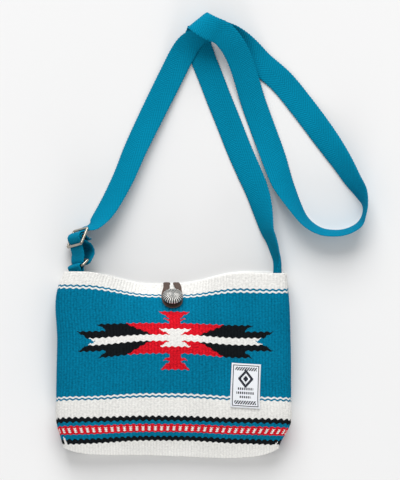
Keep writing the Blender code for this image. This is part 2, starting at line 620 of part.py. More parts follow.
def build_concho(collection):
    """Fluted domed button with the shank that holds it off the cloth."""
    place, normal, down = shell_frame(CONCHO_V, CONCHO_T)
    seat = place + normal * (RIDGE + CLEARANCE + SHANK_FOOT * sin(CONCHO_LEAN))
    side = normal.cross(down).normalized()
    out = normal * cos(CONCHO_LEAN) - down * sin(CONCHO_LEAN)
    turn = Matrix((side, out.cross(side), out)).transposed().to_4x4()
    disc = bmesh.new()
    radii = (1.0, 0.86, 0.62, 0.34, 0.10)
    around = CONCHO_FLUTES * 2
    rings = []
    for radius_share in radii:
        ring = []
        for step in range(around):
            angle = step * 2 * pi / around
            flute = (1.0 if step % 2 else -1.0) * 0.030 * min(radius_share * 1.3, 1.0)
            radius = CONCHO_RADIUS * radius_share * (1.0 + flute * (radius_share > 0.9))
            rise = CONCHO_DOME * cos(asin(min(radius_share, 1.0)) * 0.98) + CONCHO_RADIUS * flute * 0.8
            height = CONCHO_STANDOFF + 0.0010 + rise
            ring.append(disc.verts.new((radius * cos(angle), radius * sin(angle), height)))
        rings.append(ring)
    under = []
    for radius, height in ((0.96 * CONCHO_RADIUS, CONCHO_STANDOFF), (SHANK_RADIUS, CONCHO_STANDOFF),
                           (SHANK_RADIUS, 0.0011), (SHANK_FOOT, 0.0008), (SHANK_FOOT, 0.0)):
        ring = []
        for step in range(0, around, 4):
            angle = step * 2 * pi / around
            ring.append(disc.verts.new((radius * cos(angle), radius * sin(angle), height)))
        under.append(ring)
    for outer, inner in zip(rings, rings[1:]):
        for step in range(around):
            after = (step + 1) % around
            disc.faces.new((outer[step], outer[after], inner[after], inner[step]))
    disc.faces.new(rings[-1])
    rim_marks = [step / around for step in range(around + 1)]
    under_marks = [step * 4 / around for step in range(len(under[0]) + 1)]
    zip_lines(disc, rings[0] + [rings[0][0]], under[0] + [under[0][0]], rim_marks, under_marks, 0)
    for upper, lower in zip(under, under[1:]):
        for step in range(len(upper)):
            after = (step + 1) % len(upper)
            disc.faces.new((upper[step], upper[after], lower[after], lower[step]))
    disc.faces.new(under[-1])
    bmesh.ops.recalc_face_normals(disc, faces=disc.faces)
    silver = material("antique_silver", 0.35, 1.0)
    piece = add_piece("concho", mesh_from("concho", disc), collection, silver)
    piece.matrix_world = Matrix.Translation(seat) @ turn
    return piece


def build_lace(collection):
    """Leather lace: from inside the back wall, over the mouth's edge and round the concho's shank."""
    lift = RIDGE + CLEARANCE + LACE_THICKNESS / 2
    legs = []
    for sign in (-1, 1):
        leg = []
        inside = WALL + CLEARANCE * 3 + LINING_WALL + RIDGE + LACE_THICKNESS / 2
        for v, spread in ((0.0170, 0.0040), (0.0080, 0.0041)):
            back_y = shell_point(v, 0.0, False).y
            leg.append((Vector((sign * spread - 0.0015, back_y, inside)), sign))
        lip = shell_point(0.0, 0.0)
        edge = lip.z - WALL / 2
        leg.append((Vector((sign * 0.0043 - 0.0015, lip.y + 0.0002, inside + 0.0006)), sign))
        fold_z = (inside + edge) / 2 + 0.0003
        leg.append((Vector((sign * 0.0045 - 0.0015, lip.y + lift + 0.0003, fold_z)), sign))
        leg.append((Vector((sign * 0.0048 - 0.0015, lip.y + 0.0012, lip.z + 0.0014)), sign))
        for v, spread in ((0.0040, 0.0056), (0.0100, 0.0066), (0.0160, LACE_SPREAD)):
            point, normal, down = shell_frame(v, (sign * spread - 0.0010) / FRONT_HALF)
            leg.append((point + normal * lift, sign))
        legs.append(leg)
    stations = [(place, Vector((1.0, 0.0, 0.0)), 0.0) for place, sign in legs[0]]
    centre, normal, down = shell_frame(CONCHO_V, CONCHO_T)
    side = normal.cross(down).normalized()
    side = side if side.x > 0 else -side
    hub = centre + normal * lift
    for angle in (205, 240, 270, 300, 335):
        turn = radians(angle)
        offset = side * (LACE_SPREAD * cos(turn)) - down * (LACE_DROP * sin(turn))
        stations.append((hub + offset, side * -cos(turn) + down * sin(turn), 0.0))
    stations += [(place, Vector((-1.0, 0.0, 0.0)), 0.0) for place, sign in reversed(legs[1])]
    return ribbon("closure_lace", stations, LACE_WIDTH, LACE_THICKNESS, 0.006, 2, collection,
                  material("leather", 0.7))


def build_label(collection):
    """Woven patch sewn to the front, turned a little as it follows the cloth."""
    bm = bmesh.new()
    bmesh.ops.create_grid(bm, x_segments=6, y_segments=8, size=0.5)
    centre_t = LABEL_X / FRONT_HALF
    lift = RIDGE + CLEARANCE + LABEL_THICKNESS / 2
    for vert in bm.verts:
        x, y = vert.co.x * LABEL_WIDTH, vert.co.y * LABEL_HEIGHT
        across = x * cos(LABEL_TURN) - y * sin(LABEL_TURN)
        along = x * sin(LABEL_TURN) + y * cos(LABEL_TURN)
        point, normal, down = shell_frame(LABEL_V - along, centre_t + across / FRONT_HALF)
        vert.co = point + normal * lift
    piece = add_piece("label", mesh_from("label", bm), collection, material("label_white"))
    wall = piece.modifiers.new("wall", "SOLIDIFY")
    wall.thickness = LABEL_THICKNESS
    wall.offset = 0.0
    return piece


clear_scene()
bag = bpy.data.collections.new("woven_shoulder_bag")
bpy.context.scene.collection.children.link(bag)
build_body(bag)
build_lining(bag)
build_strap(bag)
build_adjuster(bag)
build_tab(bag)
build_concho(bag)
build_lace(bag)
build_label(bag)
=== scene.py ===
from math import asin, cos, pi, radians, sin

import bpy
import numpy as np
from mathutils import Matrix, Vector


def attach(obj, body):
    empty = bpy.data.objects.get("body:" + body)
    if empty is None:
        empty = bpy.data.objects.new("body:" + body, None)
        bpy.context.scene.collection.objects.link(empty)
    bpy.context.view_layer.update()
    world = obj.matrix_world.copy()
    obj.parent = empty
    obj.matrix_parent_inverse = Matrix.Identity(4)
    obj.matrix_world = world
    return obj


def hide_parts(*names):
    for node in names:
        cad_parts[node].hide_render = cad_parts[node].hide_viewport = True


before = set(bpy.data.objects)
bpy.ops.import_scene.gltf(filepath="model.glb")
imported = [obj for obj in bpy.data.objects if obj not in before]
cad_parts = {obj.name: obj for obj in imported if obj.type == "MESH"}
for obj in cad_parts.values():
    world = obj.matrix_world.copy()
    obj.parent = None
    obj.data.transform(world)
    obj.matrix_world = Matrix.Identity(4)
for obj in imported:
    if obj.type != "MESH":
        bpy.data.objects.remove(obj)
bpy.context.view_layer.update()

# Woven body. One heavy weft-faced weaving of spun cotton over thick warps: its floats stand in columns,
# half a float apart from column to column. It is folded at the bottom, sewn up the sides and hemmed inside.
MM = 0.001
BODY_LEFT, BODY_RIGHT = -116.5, 117.0    # millimetres, as all sizes of the cloth here
FRONT_WIDTH = 262.0        # of the cloth, from side seam to side seam
WARPS = 80                 # columns of floats over that width
COLUMN_STEPS = 4           # faces across one column
FRONT_CLOTH = 175.0        # down the front, from the mouth to the bottom fold
FLOATS = 97                # down the front
PICK = FRONT_CLOTH / FLOATS
BOTTOM_FLOATS = 18         # over the boxed bottom
SIDE_WARPS = 6             # columns that show below each side seam
SIDE_SHARE = 0.145         # their part of the back
BACK_STEPS = 17            # points over the plain rest of the back
LINE_STEPS = 481           # points that a level of the cloth is measured at
WALL = 2.2
RELIEF = 0.80              # from the valley between two columns to the top of a float
RELIEF_MIDDLE = 0.35       # share of the relief that lies inside the cloth's middle surface
RIB = (0.0, 0.74, 1.0, 0.74)    # height across one column
FLOAT_END = 0.45           # height where one float ends and the next begins
UNEVENNESS = 0.10          # of hand-spun floats
SPIN_SEED = 11
FLOOR_BAND = 0.6           # cloth lower than this lies smooth on the floor
SWAY_LEVELS = (0.0, 140.0, 150.0, 155.0, 160.0, 166.0, 170.0, 175.0)
SWAY = (0.60, 0.60, 1.00, 0.80, 0.45, 0.45, 0.80, 0.75)   # up and down the cloth, column against column
HEM = 12.0                 # turned in at the mouth
HEM_HEIGHT = 0.5           # float height its plain surface gets for the painted valley shade: halfway up a float
LIP = 0.55                 # how far the folded edge stands out
MOUTH_Y = 93.5
DIP_CENTRE, DIP_FLAT, DIP_REACH, MOUTH_DIP = -10.0, 14.0, 78.0, 12.0
MOTIF_AXIS = 71.0
MOTIF_MIDDLE = 1.6         # the star's middle, right of the cloth's
CORNER_NOTCH = 119.0       # from the cloth's middle to the seam of the box corner
NOTCH_TOP = (168.0, 171.0)      # where that seam starts on the left and on the right
NOTCH_SLOPE = 0.34
SEAM_SHARE = 0.46          # height of the side seams, as a part of the bag's
BACK_FALL = 1.15           # the back falls from there to the floor, and lies flat on it
BOTTOM_BULGE = 3.0
LEVELS = np.array((0.0, 13.5, MOTIF_AXIS, 128.0, 150.0, FRONT_CLOTH))
LEFT_EDGE = BODY_LEFT + np.array((8.0, 2.5, 1.0, 0.0, 0.0, 6.0))
RIGHT_EDGE = BODY_RIGHT - np.array((4.5, 3.0, 0.5, 0.0, 0.0, 11.5))
HEIGHT = np.array((36.6, 37.8, 42.0, 42.0, 39.0, 31.0))
CORNER_LIFT, CORNER_POWER = 10.0, 12     # the boxed bottom's corners are rounded
HEEL_PLACES = (0.0, 0.18, 0.40, 0.57, 0.74, 0.87, 1.0)
HEEL_RISE = (1.5, 1.5, 1.5, -0.3, -1.8, -1.2, 0.0)    # and it bulges towards the right
PINCH = np.array((23.0, 16.56, 0.0, 0.0, 0.0, 0.0))
SQUARENESS = np.array((6.0, 5.0, 3.2, 3.4, 4.2, 3.7))
FRONT_LEFT_Y = MOUTH_Y - np.array((0.0, 12.5, 69.5, 123.4, 144.6, 170.4))
FRONT_RIGHT_Y = MOUTH_Y - np.array((2.2, 18.0, 69.0, 124.2, 146.2, 170.6))
FRONT_MID_SHIFT = np.array((-MOUTH_DIP, -8.0, 4.0, 2.9, 1.6, 2.6))
BACK_Y = MOUTH_Y - np.array((0.6, 14.5, 71.5, 129.0, 152.0, 185.0))
OFF_FRONT = 999.0          # further than any place of the front
CREAM, TEAL, RED, BLACK = range(4)
DYES = (
    (0.900, 0.890, 0.858, 1.0), (0.001, 0.190, 0.335, 1.0), (0.710, 0.010, 0.022, 1.0),
    (0.008, 0.010, 0.012, 1.0))
FIELD_TOP, FIELD_END = 17.3, 128.0
BANDS = (                  # where each band ends down the cloth, and its yarn
    (13.1, CREAM), (14.9, TEAL), (FIELD_TOP, CREAM), (FIELD_END, TEAL), (130.0, CREAM), (132.1, TEAL),
    (150.0, CREAM), (154.2, BLACK), (157.8, TEAL), (166.2, RED), (170.4, TEAL), (FRONT_CLOTH, BLACK),
    (OFF_FRONT, CREAM))
DASHES = (159.4, 164.6)    # cream marks in the red band, on every other column
STAR = (                   # up to each distance from its axis: half width, growth, where it grows from, yarn
    (3.6, ((82.5, 2.2, 0.0, CREAM),)),
    (10.4, ((5.47, 1.7, 3.6, CREAM), (24.41, 1.85, 3.6, RED), (91.4, 1.5, 3.6, BLACK))),
    (17.4, ((24.41, 1.85, 3.6, RED), (72.0, 1.5, 12.0, BLACK))),
    (24.4, ((6.0, 2.0, 21.0, RED),)),
    (34.0, ((6.0, 1.15, 25.4, RED),)))


def down_cloth(values, v):
    """Smooth curve through a value of the cloth at its levels."""
    v = min(max(v, 0.0), FRONT_CLOTH)
    slopes = np.gradient(values, LEVELS)
    index = min(int(np.searchsorted(LEVELS, v, side="right")) - 1, len(LEVELS) - 2)
    span = LEVELS[index + 1] - LEVELS[index]
    share = (v - LEVELS[index]) / span
    rise = share * share * (3.0 - 2.0 * share)
    ends = slopes[index] * share * (1.0 - share) ** 2 + slopes[index + 1] * share * share * (share - 1.0)
    return values[index] + (values[index + 1] - values[index]) * rise + span * ends


def ease(low, high, value):
    """0 below low, 1 above high, and a smooth rise between them."""
    share = np.clip((value - low) / (high - low), 0.0, 1.0)
    return share * share * (3.0 - 2.0 * share)


def cloth_line(v, t, front=True):
    """Points of the cloth at one level: t runs from -1 at the left seam to 1 at the right seam."""
    left, right = down_cloth(LEFT_EDGE, v), down_cloth(RIGHT_EDGE, v)
    height = down_cloth(HEIGHT, v)
    power = 2.0 / down_cloth(SQUARENESS, v)
    seam = SEAM_SHARE * height
    angle = np.linspace(0.0, pi, LINE_STEPS)
    cosine = np.cos(angle)
    x = (left + right) / 2 - (right - left) / 2 * np.sign(cosine) * np.abs(cosine) ** power
    reach = np.abs(np.sin(angle)) ** power
    reach[0] = reach[-1] = 0.0
    pull = 1.0 - ease(DIP_FLAT, DIP_REACH, np.abs(x - DIP_CENTRE))
    if front:
        z = seam + (height - seam) * reach - down_cloth(PINCH, v) * pull * reach
    else:
        z = np.maximum(seam - BACK_FALL * seam * reach, 0.0)
    arc = np.concatenate(([0.0], np.cumsum(np.hypot(np.diff(x), np.diff(z)))))
    share = (np.asarray(t) + 1.0) / 2.0 * arc[-1]
    x, z, reach, pull = (np.interp(share, arc, line) for line in (x, z, reach, pull))
    across = (x - BODY_LEFT) / (BODY_RIGHT - BODY_LEFT)
    front_y = down_cloth(FRONT_LEFT_Y, v) * (1 - across) + down_cloth(FRONT_RIGHT_Y, v) * across
    front_y = front_y + down_cloth(FRONT_MID_SHIFT, v) * pull
    back_y = down_cloth(BACK_Y, v) - MOUTH_DIP * pull * (1.0 - ease(0.0, MOTIF_AXIS, v))
    from_middle = np.abs(2.0 * (x - left) / (right - left) - 1.0)
    rounding = CORNER_LIFT * from_middle ** CORNER_POWER + np.interp(across, HEEL_PLACES, HEEL_RISE)
    back_y = back_y + rounding * ease(LEVELS[-2], FRONT_CLOTH, v)
    weight = 0.5 + 0.5 * reach if front else 0.5 - 0.5 * reach
    return np.stack((x, back_y + (front_y - back_y) * weight, z), axis=-1)


def cloth_ring(v, front_t, back_t):
    """Closed line round the bag: the front from left to right, then the back from right to left."""
    return np.concatenate((cloth_line(v, front_t), cloth_line(v, back_t, front=False)))


def directions(vectors):
    """Vectors cut to a length of one."""
    return vectors / np.maximum(np.linalg.norm(vectors, axis=-1, keepdims=True), 1e-9)


def ring_normals(rings):
    """Outward directions of a stack of closed rings, each one down the cloth from the one before."""
    down = np.gradient(rings, axis=0)
    along = np.roll(rings, -1, axis=1) - np.roll(rings, 1, axis=1)
    return directions(np.cross(down, along))


def star_yarn(u, rise):
    """The star's yarn at a distance across and along the cloth from its middle, -1 outside it."""
    u, rise = np.abs(u), np.abs(rise)
    cases, yarns = [], []
    nearest = 0.0
    for furthest, fields in STAR:
        for half_width, growth, start, field_yarn in fields:
            reach = half_width + growth * np.maximum(rise - start, 0.0)
            cases.append((rise >= nearest) & (rise < furthest) & (u < reach))
            yarns.append(field_yarn)
        nearest = furthest
    return np.select(cases, yarns, default=-1)


def cloth_yarn(column, u, v):
    """The yarn that shows at each place of the front, across from its middle and down from the mouth."""
    ends, yarns = np.array(BANDS).T
    band = yarns.astype(int)[np.searchsorted(ends, v, side="right")]
    star = star_yarn(u - MOTIF_MIDDLE, v - MOTIF_AXIS)
    in_field = (v >= FIELD_TOP) & (v < FIELD_END) & (star >= 0)
    pinched = (np.abs(u * WARPS / FRONT_WIDTH % 1.0 - 0.5) > 0.25) & (v / PICK % 1.0 < 0.5)
    dash = (v > DASHES[0]) & (v < DASHES[1]) & (column % 2 == 0) & ~pinched
    notch_half = NOTCH_SLOPE * (v - np.where(u < 0.0, *NOTCH_TOP))
    notch = (v < FRONT_CLOTH) & (np.abs(np.abs(u) - CORNER_NOTCH) < notch_half)
    return np.where(dash | notch, CREAM, np.where(in_field, star, band))


front_steps = WARPS * COLUMN_STEPS
side_steps = SIDE_WARPS * COLUMN_STEPS
front_t = np.linspace(-1.0, 1.0, front_steps + 1)
side_t = np.linspace(1.0, 1.0 - SIDE_SHARE, side_steps + 1)
plain_t = np.linspace(side_t[-1], -side_t[-1], BACK_STEPS)[1:-1]
back_t = np.concatenate((side_t, plain_t, -side_t[::-1]))[1:-1]
levels = np.linspace(0.0, FRONT_CLOTH, 2 * FLOATS + 1)
rings = np.array([cloth_ring(v, front_t, back_t) for v in levels])
normals = ring_normals(rings)

# Column and float that each point of a ring belongs to. A float is highest at its middle, and its ends
# slant up or down to the next column's.
around = rings.shape[1]
steps = np.arange(around)
shown = (steps <= front_steps + side_steps) | (steps >= around - side_steps)
rib = np.array(RIB)[steps % COLUMN_STEPS] * shown
sway = np.sin(pi * steps / COLUMN_STEPS) * shown
column_of = steps // COLUMN_STEPS
spin = np.random.default_rng(SPIN_SEED)
uneven = np.clip(spin.normal(1.0, UNEVENNESS, (FLOATS + BOTTOM_FLOATS + 2, WARPS + 40)), 0.75, 1.25)


def float_relief(row_count, first_row, columns, ribs):
    """Height of the floats over a block of rows."""
    rows = np.arange(first_row, first_row + row_count)[:, None] + columns[None, :] % 2
    bead = np.where(rows % 2 == 1, 1.0, FLOAT_END)
    spun = uneven[rows // 2 % uneven.shape[0], columns[None, :] % uneven.shape[1]]
    return ribs[None, :] * bead * spun


height = float_relief(len(levels), 0, column_of, rib)
off_floor = rings[:, :, 2] >= FLOOR_BAND
raised = RELIEF * (height - RELIEF_MIDDLE) * off_floor
settled = (ease(0.0, 4.0, levels) * np.interp(levels, SWAY_LEVELS, SWAY))[:, None] * off_floor
outer = rings + normals * raised[:, :, None]
outer = outer + directions(np.gradient(rings, axis=0)) * (sway * settled)[:, :, None]
outer[:, :, 2] = np.maximum(outer[:, :, 2], 0.0)

# The hem: over the mouth's edge and down inside.
hem = np.array([cloth_ring(v, front_t, back_t) for v in (HEM, HEM * 0.62, HEM * 0.28, 1.0)])
hem = hem + ring_normals(hem) * WALL
edge = rings[:1] - normals[:1] * WALL / 2
edge[:, :, 1] += LIP
wall = np.concatenate((hem, edge, outer))
hem_rows = len(hem) + len(edge)

# The boxed bottom, a lens of the same cloth between the front fold and the back's lower edge.
bottom_rows = 2 * BOTTOM_FLOATS
fold = cloth_line(FRONT_CLOTH, front_t)
to_back = cloth_line(FRONT_CLOTH, front_t, front=False) - fold
front_part = slice(front_steps + 1)
shares = np.arange(1, bottom_rows) / bottom_rows
bottom = fold + to_back * shares[:, None, None]
bottom[:, :, 1] -= BOTTOM_BULGE * np.sin(pi * shares)[:, None]
facing = directions(np.cross(np.gradient(bottom, axis=0), np.gradient(bottom, axis=1)))
bottom_height = float_relief(bottom_rows - 1, 2 * FLOATS + 1, column_of[front_part], rib[front_part])
thin = ease(0.0, 6.0, np.linalg.norm(to_back, axis=-1))    # the relief dies out at the lens's two ends
slide = SWAY[-1] * sway[front_part] * thin * (1.0 - shares[:, None])
bottom = bottom + facing * (RELIEF * (bottom_height - RELIEF_MIDDLE) * thin)[:, :, None]
bottom = (bottom + directions(to_back) * slide[:, :, None])[:, 1:-1]


def ring_faces(ring_count, around, order=(0, 1, 2, 3)):
    """Faces between closed rings of points, each ring right after the one before."""
    first = np.arange(ring_count - 1)[:, None] * around
    here = (first + np.arange(around)).ravel()
    ahead = (first + (np.arange(around) + 1) % around).ravel()
    corners = (here, here + around, ahead + around, ahead)
    return np.stack([corners[place] for place in order], axis=-1).tolist()


def new_piece(name, points, faces, edges=()):
    """A smooth object at the origin, from points in millimetres."""
    made = bpy.data.meshes.new(name)
    made.from_pydata((np.asarray(points).reshape(-1, 3) * MM).tolist(), edges, faces)
    made.polygons.foreach_set("use_smooth", [True] * len(faces))
    piece = bpy.data.objects.new(name, made)
    bpy.context.scene.collection.objects.link(piece)
    return piece


def mark_points(piece, name, values):
    """Keep a number or a vector at each point, for the material to read."""
    values = np.asarray(values, float)
    kind, field = ("FLOAT", "value") if values.ndim == 1 else ("FLOAT_VECTOR", "vector")
    piece.data.attributes.new(name, kind, "POINT").data.foreach_set(field, values.ravel())


# Faces, and for each the yarn that shows there.
points = np.concatenate((wall.reshape(-1, 3), bottom.reshape(-1, 3)))
# float height at each point, read by the yarn's painted valley shade
float_height = np.concatenate(
    (np.full(hem_rows * around, HEM_HEIGHT), height.ravel(), bottom_height[:, 1:-1].ravel()))
faces = ring_faces(len(wall), around)
face_row = np.repeat(np.arange(len(wall) - 1) - hem_rows, around)
face_step = np.tile(steps, len(wall) - 1)
face_v = (face_row + 0.5) / 2 * PICK
face_u = ((face_step + 0.5) / front_steps - 0.5) * FRONT_WIDTH
face_u = np.where(face_step < front_steps, face_u, OFF_FRONT)
yarn = cloth_yarn(face_step // COLUMN_STEPS, face_u, np.maximum(face_v, 0.0)).tolist()

last_ring = (len(wall) - 1) * around
first_bottom = len(wall) * around
inner = front_steps - 1    # points of the bottom between its two ends


def bottom_point(row, step):
    """Index of a point of the bottom: row 0 is the front fold, and both ends are the side seams."""
    if row == 0 or step in (0, front_steps):
        return last_ring + step
    return first_bottom + (row - 1) * inner + step - 1


for row in range(bottom_rows - 1):
    for step in range(front_steps):
        corners = [bottom_point(row, step), bottom_point(row + 1, step), bottom_point(row + 1, step + 1),
                   bottom_point(row, step + 1)]
        faces.append(list(dict.fromkeys(corners)))
        yarn.append(CREAM)
# The back's lower edge has fewer points than the bottom, so triangles join them.
back_line = [last_ring] + [last_ring + step for step in range(around - 1, front_steps - 1, -1)]
back_marks = [-1.0] + list(back_t[::-1]) + [1.0]
left = right = 0
while left < front_steps or right < len(back_line) - 1:
    ahead = front_t[left + 1] if left < front_steps else OFF_FRONT
    other = back_marks[right + 1] if right < len(back_line) - 1 else OFF_FRONT
    upper = bottom_point(bottom_rows - 1, left)
    if ahead <= other + 1e-9:
        corners = [upper, back_line[right], bottom_point(bottom_rows - 1, left + 1)]
        left += 1
    else:
        corners = [upper, back_line[right], back_line[right + 1]]
        right += 1
    if len(set(corners)) == 3:
        faces.append(corners)
        yarn.append(CREAM)

woven_cloth = new_piece("woven_cloth", points, faces)
corner_dyes = np.repeat(np.array(DYES)[yarn], [len(face) for face in faces], axis=0)
dye_marks = woven_cloth.data.color_attributes.new("dye", "FLOAT_COLOR", "CORNER")
dye_marks.data.foreach_set("color", corner_dyes.ravel())
mark_points(woven_cloth, "float_height", float_height)
loom_column = np.concatenate((np.tile(steps, len(wall)), np.tile(np.arange(1, front_steps), bottom_rows - 1)))
loom_row = np.concatenate((np.repeat(np.arange(len(wall)) - hem_rows, around),
                           2 * FLOATS + np.repeat(np.arange(1, bottom_rows), inner)))
mark_points(woven_cloth, "loom", np.stack((loom_column / COLUMN_STEPS, loom_row / 2, 0 * loom_row), axis=-1))
woven_cloth.data.validate()


class Wire:
    """A socket in a material. Arithmetic on it adds Math nodes, and add() any other node."""

    def __init__(self, socket):
        self.socket = socket

    def add(self, kind, settings, values, output=0):
        tree = self.socket.id_data
        node = tree.nodes.new(kind)
        for name, value in settings.items():
            setattr(node, name, value)
        for name, value in values.items():
            if isinstance(value, Wire):
                tree.links.new(value.socket, node.inputs[name])
            else:
                node.inputs[name].default_value = value
        return Wire(node.outputs[output])

    def maths(self, operation, first, second=0.0):
        return self.add("ShaderNodeMath", {"operation": operation}, {0: first, 1: second})

    def __add__(self, other):
        return self.maths("ADD", self, other)

    __radd__ = __add__

    def __sub__(self, other):
        return self.maths("SUBTRACT", self, other)

    def __rsub__(self, other):
        return self.maths("SUBTRACT", other, self)

    def __mul__(self, other):
        return self.maths("MULTIPLY", self, other)

    __rmul__ = __mul__

    def into(self, socket):
        self.socket.id_data.links.new(self.socket, socket)


def finish_of(name, roughness, metallic=0.0, gloss=0.08):
    """A new material, its shader, and the place of each surface point as a wire."""
    made = bpy.data.materials.new(name)
    made.use_nodes = True
    shader = made.node_tree.nodes["Principled BSDF"]
    shader.inputs["Roughness"].default_value = roughness
    shader.inputs["Metallic"].default_value = metallic
    shader.inputs["Specular IOR Level"].default_value = gloss
    place = made.node_tree.nodes.new("ShaderNodeTexCoord").outputs["Object"]
    return made, shader, Wire(place)


def attribute_of(wire, name, output="Color"):
    return wire.add("ShaderNodeAttribute", {"attribute_name": name}, {}, output)


def tinted(wire, colour, factor, shader):
    """Give the shader a colour times a number that varies over the surface."""
    grey = wire.add("ShaderNodeCombineColor", {}, {0: factor, 1: factor, 2: factor})
    multiply = {"data_type": "RGBA", "blend_type": "MULTIPLY"}
    mixed = wire.add("ShaderNodeMix", multiply, {0: 1.0, 6: colour, 7: grey}, 2)
    mixed.into(shader.inputs["Base Color"])


def bumped(wire, height, shader, distance, strength):
    bump = wire.add("ShaderNodeBump", {}, {"Height": height, "Strength": strength, "Distance": distance})
    bump.into(shader.inputs["Normal"])


# Spun cotton: fibres run along each float, and the valleys between the floats are darkened with painted
# shade.
woven, shader, place = finish_of("woven_yarn", 0.92, gloss=0.04)
dye = attribute_of(place, "dye")
rise = attribute_of(place, "float_height", "Fac")
loom_place = attribute_of(place, "loom", "Vector")
along_yarn, each_float = (
    place.add("ShaderNodeVectorMath", {"operation": "MULTIPLY"}, {0: loom_place, 1: stretch})
    for stretch in ((1.6, 9.0, 1.0), (1.3, 1.1, 1.0)))
fibres = place.add("ShaderNodeTexNoise", {}, {"Vector": along_yarn, "Scale": 1.0, "Detail": 4.0})
flecks = place.add("ShaderNodeTexNoise", {}, {"Vector": each_float, "Scale": 1.0, "Detail": 1.0})
patches = place.add("ShaderNodeTexNoise", {}, {"Vector": place, "Scale": 38.0, "Detail": 2.0})
pale = place.add("ShaderNodeSeparateColor", {}, {0: dye}, 1)
# painted shade: the float height (rise) darkens the valleys between floats; the noise terms are the yarn's
# own tone
tone_and_valley_shade = 0.30 * rise + 0.30 * fibres + 1.10 * flecks + 0.30 * patches - 1.0
shade = 0.93 + (1.10 - 0.75 * pale) * tone_and_valley_shade
tinted(place, dye, shade, shader)
bumped(place, fibres, shader, 0.00035, 0.6)
woven_cloth.data.materials.append(woven)
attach(woven_cloth, "bag")
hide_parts("woven_body")

# Lining. Plain undyed cotton, a bag of its own inside the weaving. Its top edge is stitched to the hem
# all the way round, a little below the mouth's edge.
LINING_DROP, LINING_GAP, LINING_WALL = 6.0, 0.35, 0.8
LINING_STEPS, LINING_ROWS = 56, 22
LINING_NARROWING = 0.975   # of its sewn bottom
COTTON = (0.560, 0.530, 0.470, 1.0)


def thicken(piece, thickness):
    """Give a thin sheet its wall, half to each side."""
    wall_of = piece.modifiers.new("wall", "SOLIDIFY")
    wall_of.thickness = thickness * MM
    wall_of.offset = 0.0


lining_t = np.linspace(-1.0, 1.0, LINING_STEPS + 1)
lining_levels = np.concatenate(([LINING_DROP, 9.5, 13.5], np.linspace(20.0, FRONT_CLOTH, LINING_ROWS)))
lining_rings = np.array([cloth_ring(v, lining_t, lining_t[::-1][1:-1]) for v in lining_levels])
inset = WALL + LINING_GAP + LINING_WALL / 2
lining_rings = lining_rings - ring_normals(lining_rings) * inset
lining_rings[:, :, 2] = np.maximum(lining_rings[:, :, 2], inset)
lining_rings[-1, :, 1] += inset
lining_rings[-1, :, 0] *= LINING_NARROWING
round_count = lining_rings.shape[1]
lining_faces = ring_faces(len(lining_levels), round_count)
# Its bottom is sewn shut, front to back.
base = (len(lining_levels) - 1) * round_count
lining_faces += [
    (base + step, base + (-step) % round_count, base + (-step - 1) % round_count, base + step + 1)
    for step in range(1, LINING_STEPS - 1)]
lining_faces += [(base, base + round_count - 1, base + 1),
                 (base + LINING_STEPS - 1, base + LINING_STEPS + 1, base + LINING_STEPS)]
cotton_lining = new_piece("cotton_lining", lining_rings, lining_faces)
plain_cotton, shader, place = finish_of("plain_cotton", 0.95)
weft, warp = (place.add("ShaderNodeTexWave", {"bands_direction": way}, {"Vector": place, "Scale": 320.0}, 1)
              for way in ("X", "Y"))
slubs = place.add("ShaderNodeTexNoise", {}, {"Vector": place, "Scale": 260.0, "Detail": 3.0})
weave = 0.5 * weft + 0.5 * warp
shade = 0.84 + 0.14 * weave + 0.10 * slubs
tinted(place, COTTON, shade, shader)
bumped(place, weave, shader, 0.0002, 0.5)
cotton_lining.data.materials.append(plain_cotton)
thicken(cotton_lining, LINING_WALL)
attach(cotton_lining, "bag")
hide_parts("lining")

# Webbing of the strap and of the ring's tab. Dyed cotton, 25 mm wide, woven as a herringbone with a firm
# selvedge. The strap's sewn end is round the slider's centre bar, and its other end is in the side seam.
STRAP_WIDTH, STRAP_THICKNESS = 25.0, 1.6
WEBBING_TOOTH, TOOTH_PITCH = 0.45, 3.0     # each turn of the weft stands out at the selvedge
CLEARANCE, WIRE = 0.35, 1.3
SLIDER_PITCH, RING_REACH, RING_PLAY = 9.2, 9.0, 2.1
BAND_STEP, BAND_STEPS_ACROSS = 0.6, 16
LEFT_ANCHOR = np.array((BODY_LEFT + 13.0, MOUTH_Y, 0.0))
RIGHT_ANCHOR = np.array((BODY_RIGHT - 11.5, MOUTH_Y, 0.0))
STRAP_TEAL = (0.001, 0.248, 0.415, 1.0)


def unit(vector):
    return np.asarray(vector, float) / np.linalg.norm(vector)


SLIDER_CENTRE = LEFT_ANCHOR + np.array((8.0, 34.0, 17.8))
BAR_LINE = unit((-0.487, -0.126, -0.863))
SLIDER_ALONG = unit((-0.355, -0.875, 0.328))
SLIDER_FACE = unit(np.cross(BAR_LINE, SLIDER_ALONG))
FAR_BAR = (18.5, -14.9, 3.4)
RING_TURN = 20.0


def slider_place(a, n, w=0.0):
    """A place along the slider towards the ring, out of its face and along its bars."""
    return SLIDER_CENTRE + SLIDER_ALONG * a + SLIDER_FACE * n + BAR_LINE * w


def ring_place(reach, angle):
    """A place at a distance from the ring's far bar, in degrees from the slider's plane."""
    a, n, w = FAR_BAR
    return slider_place(a + reach * cos(radians(angle)), n + reach * sin(radians(angle)), w)


def across_at(azimuth, tilt):
    """Direction of the webbing's width, from degrees of azimuth and tilt."""
    flat = cos(radians(tilt))
    return np.array((flat * cos(radians(azimuth)), flat * sin(radians(azimuth)), sin(radians(tilt))))


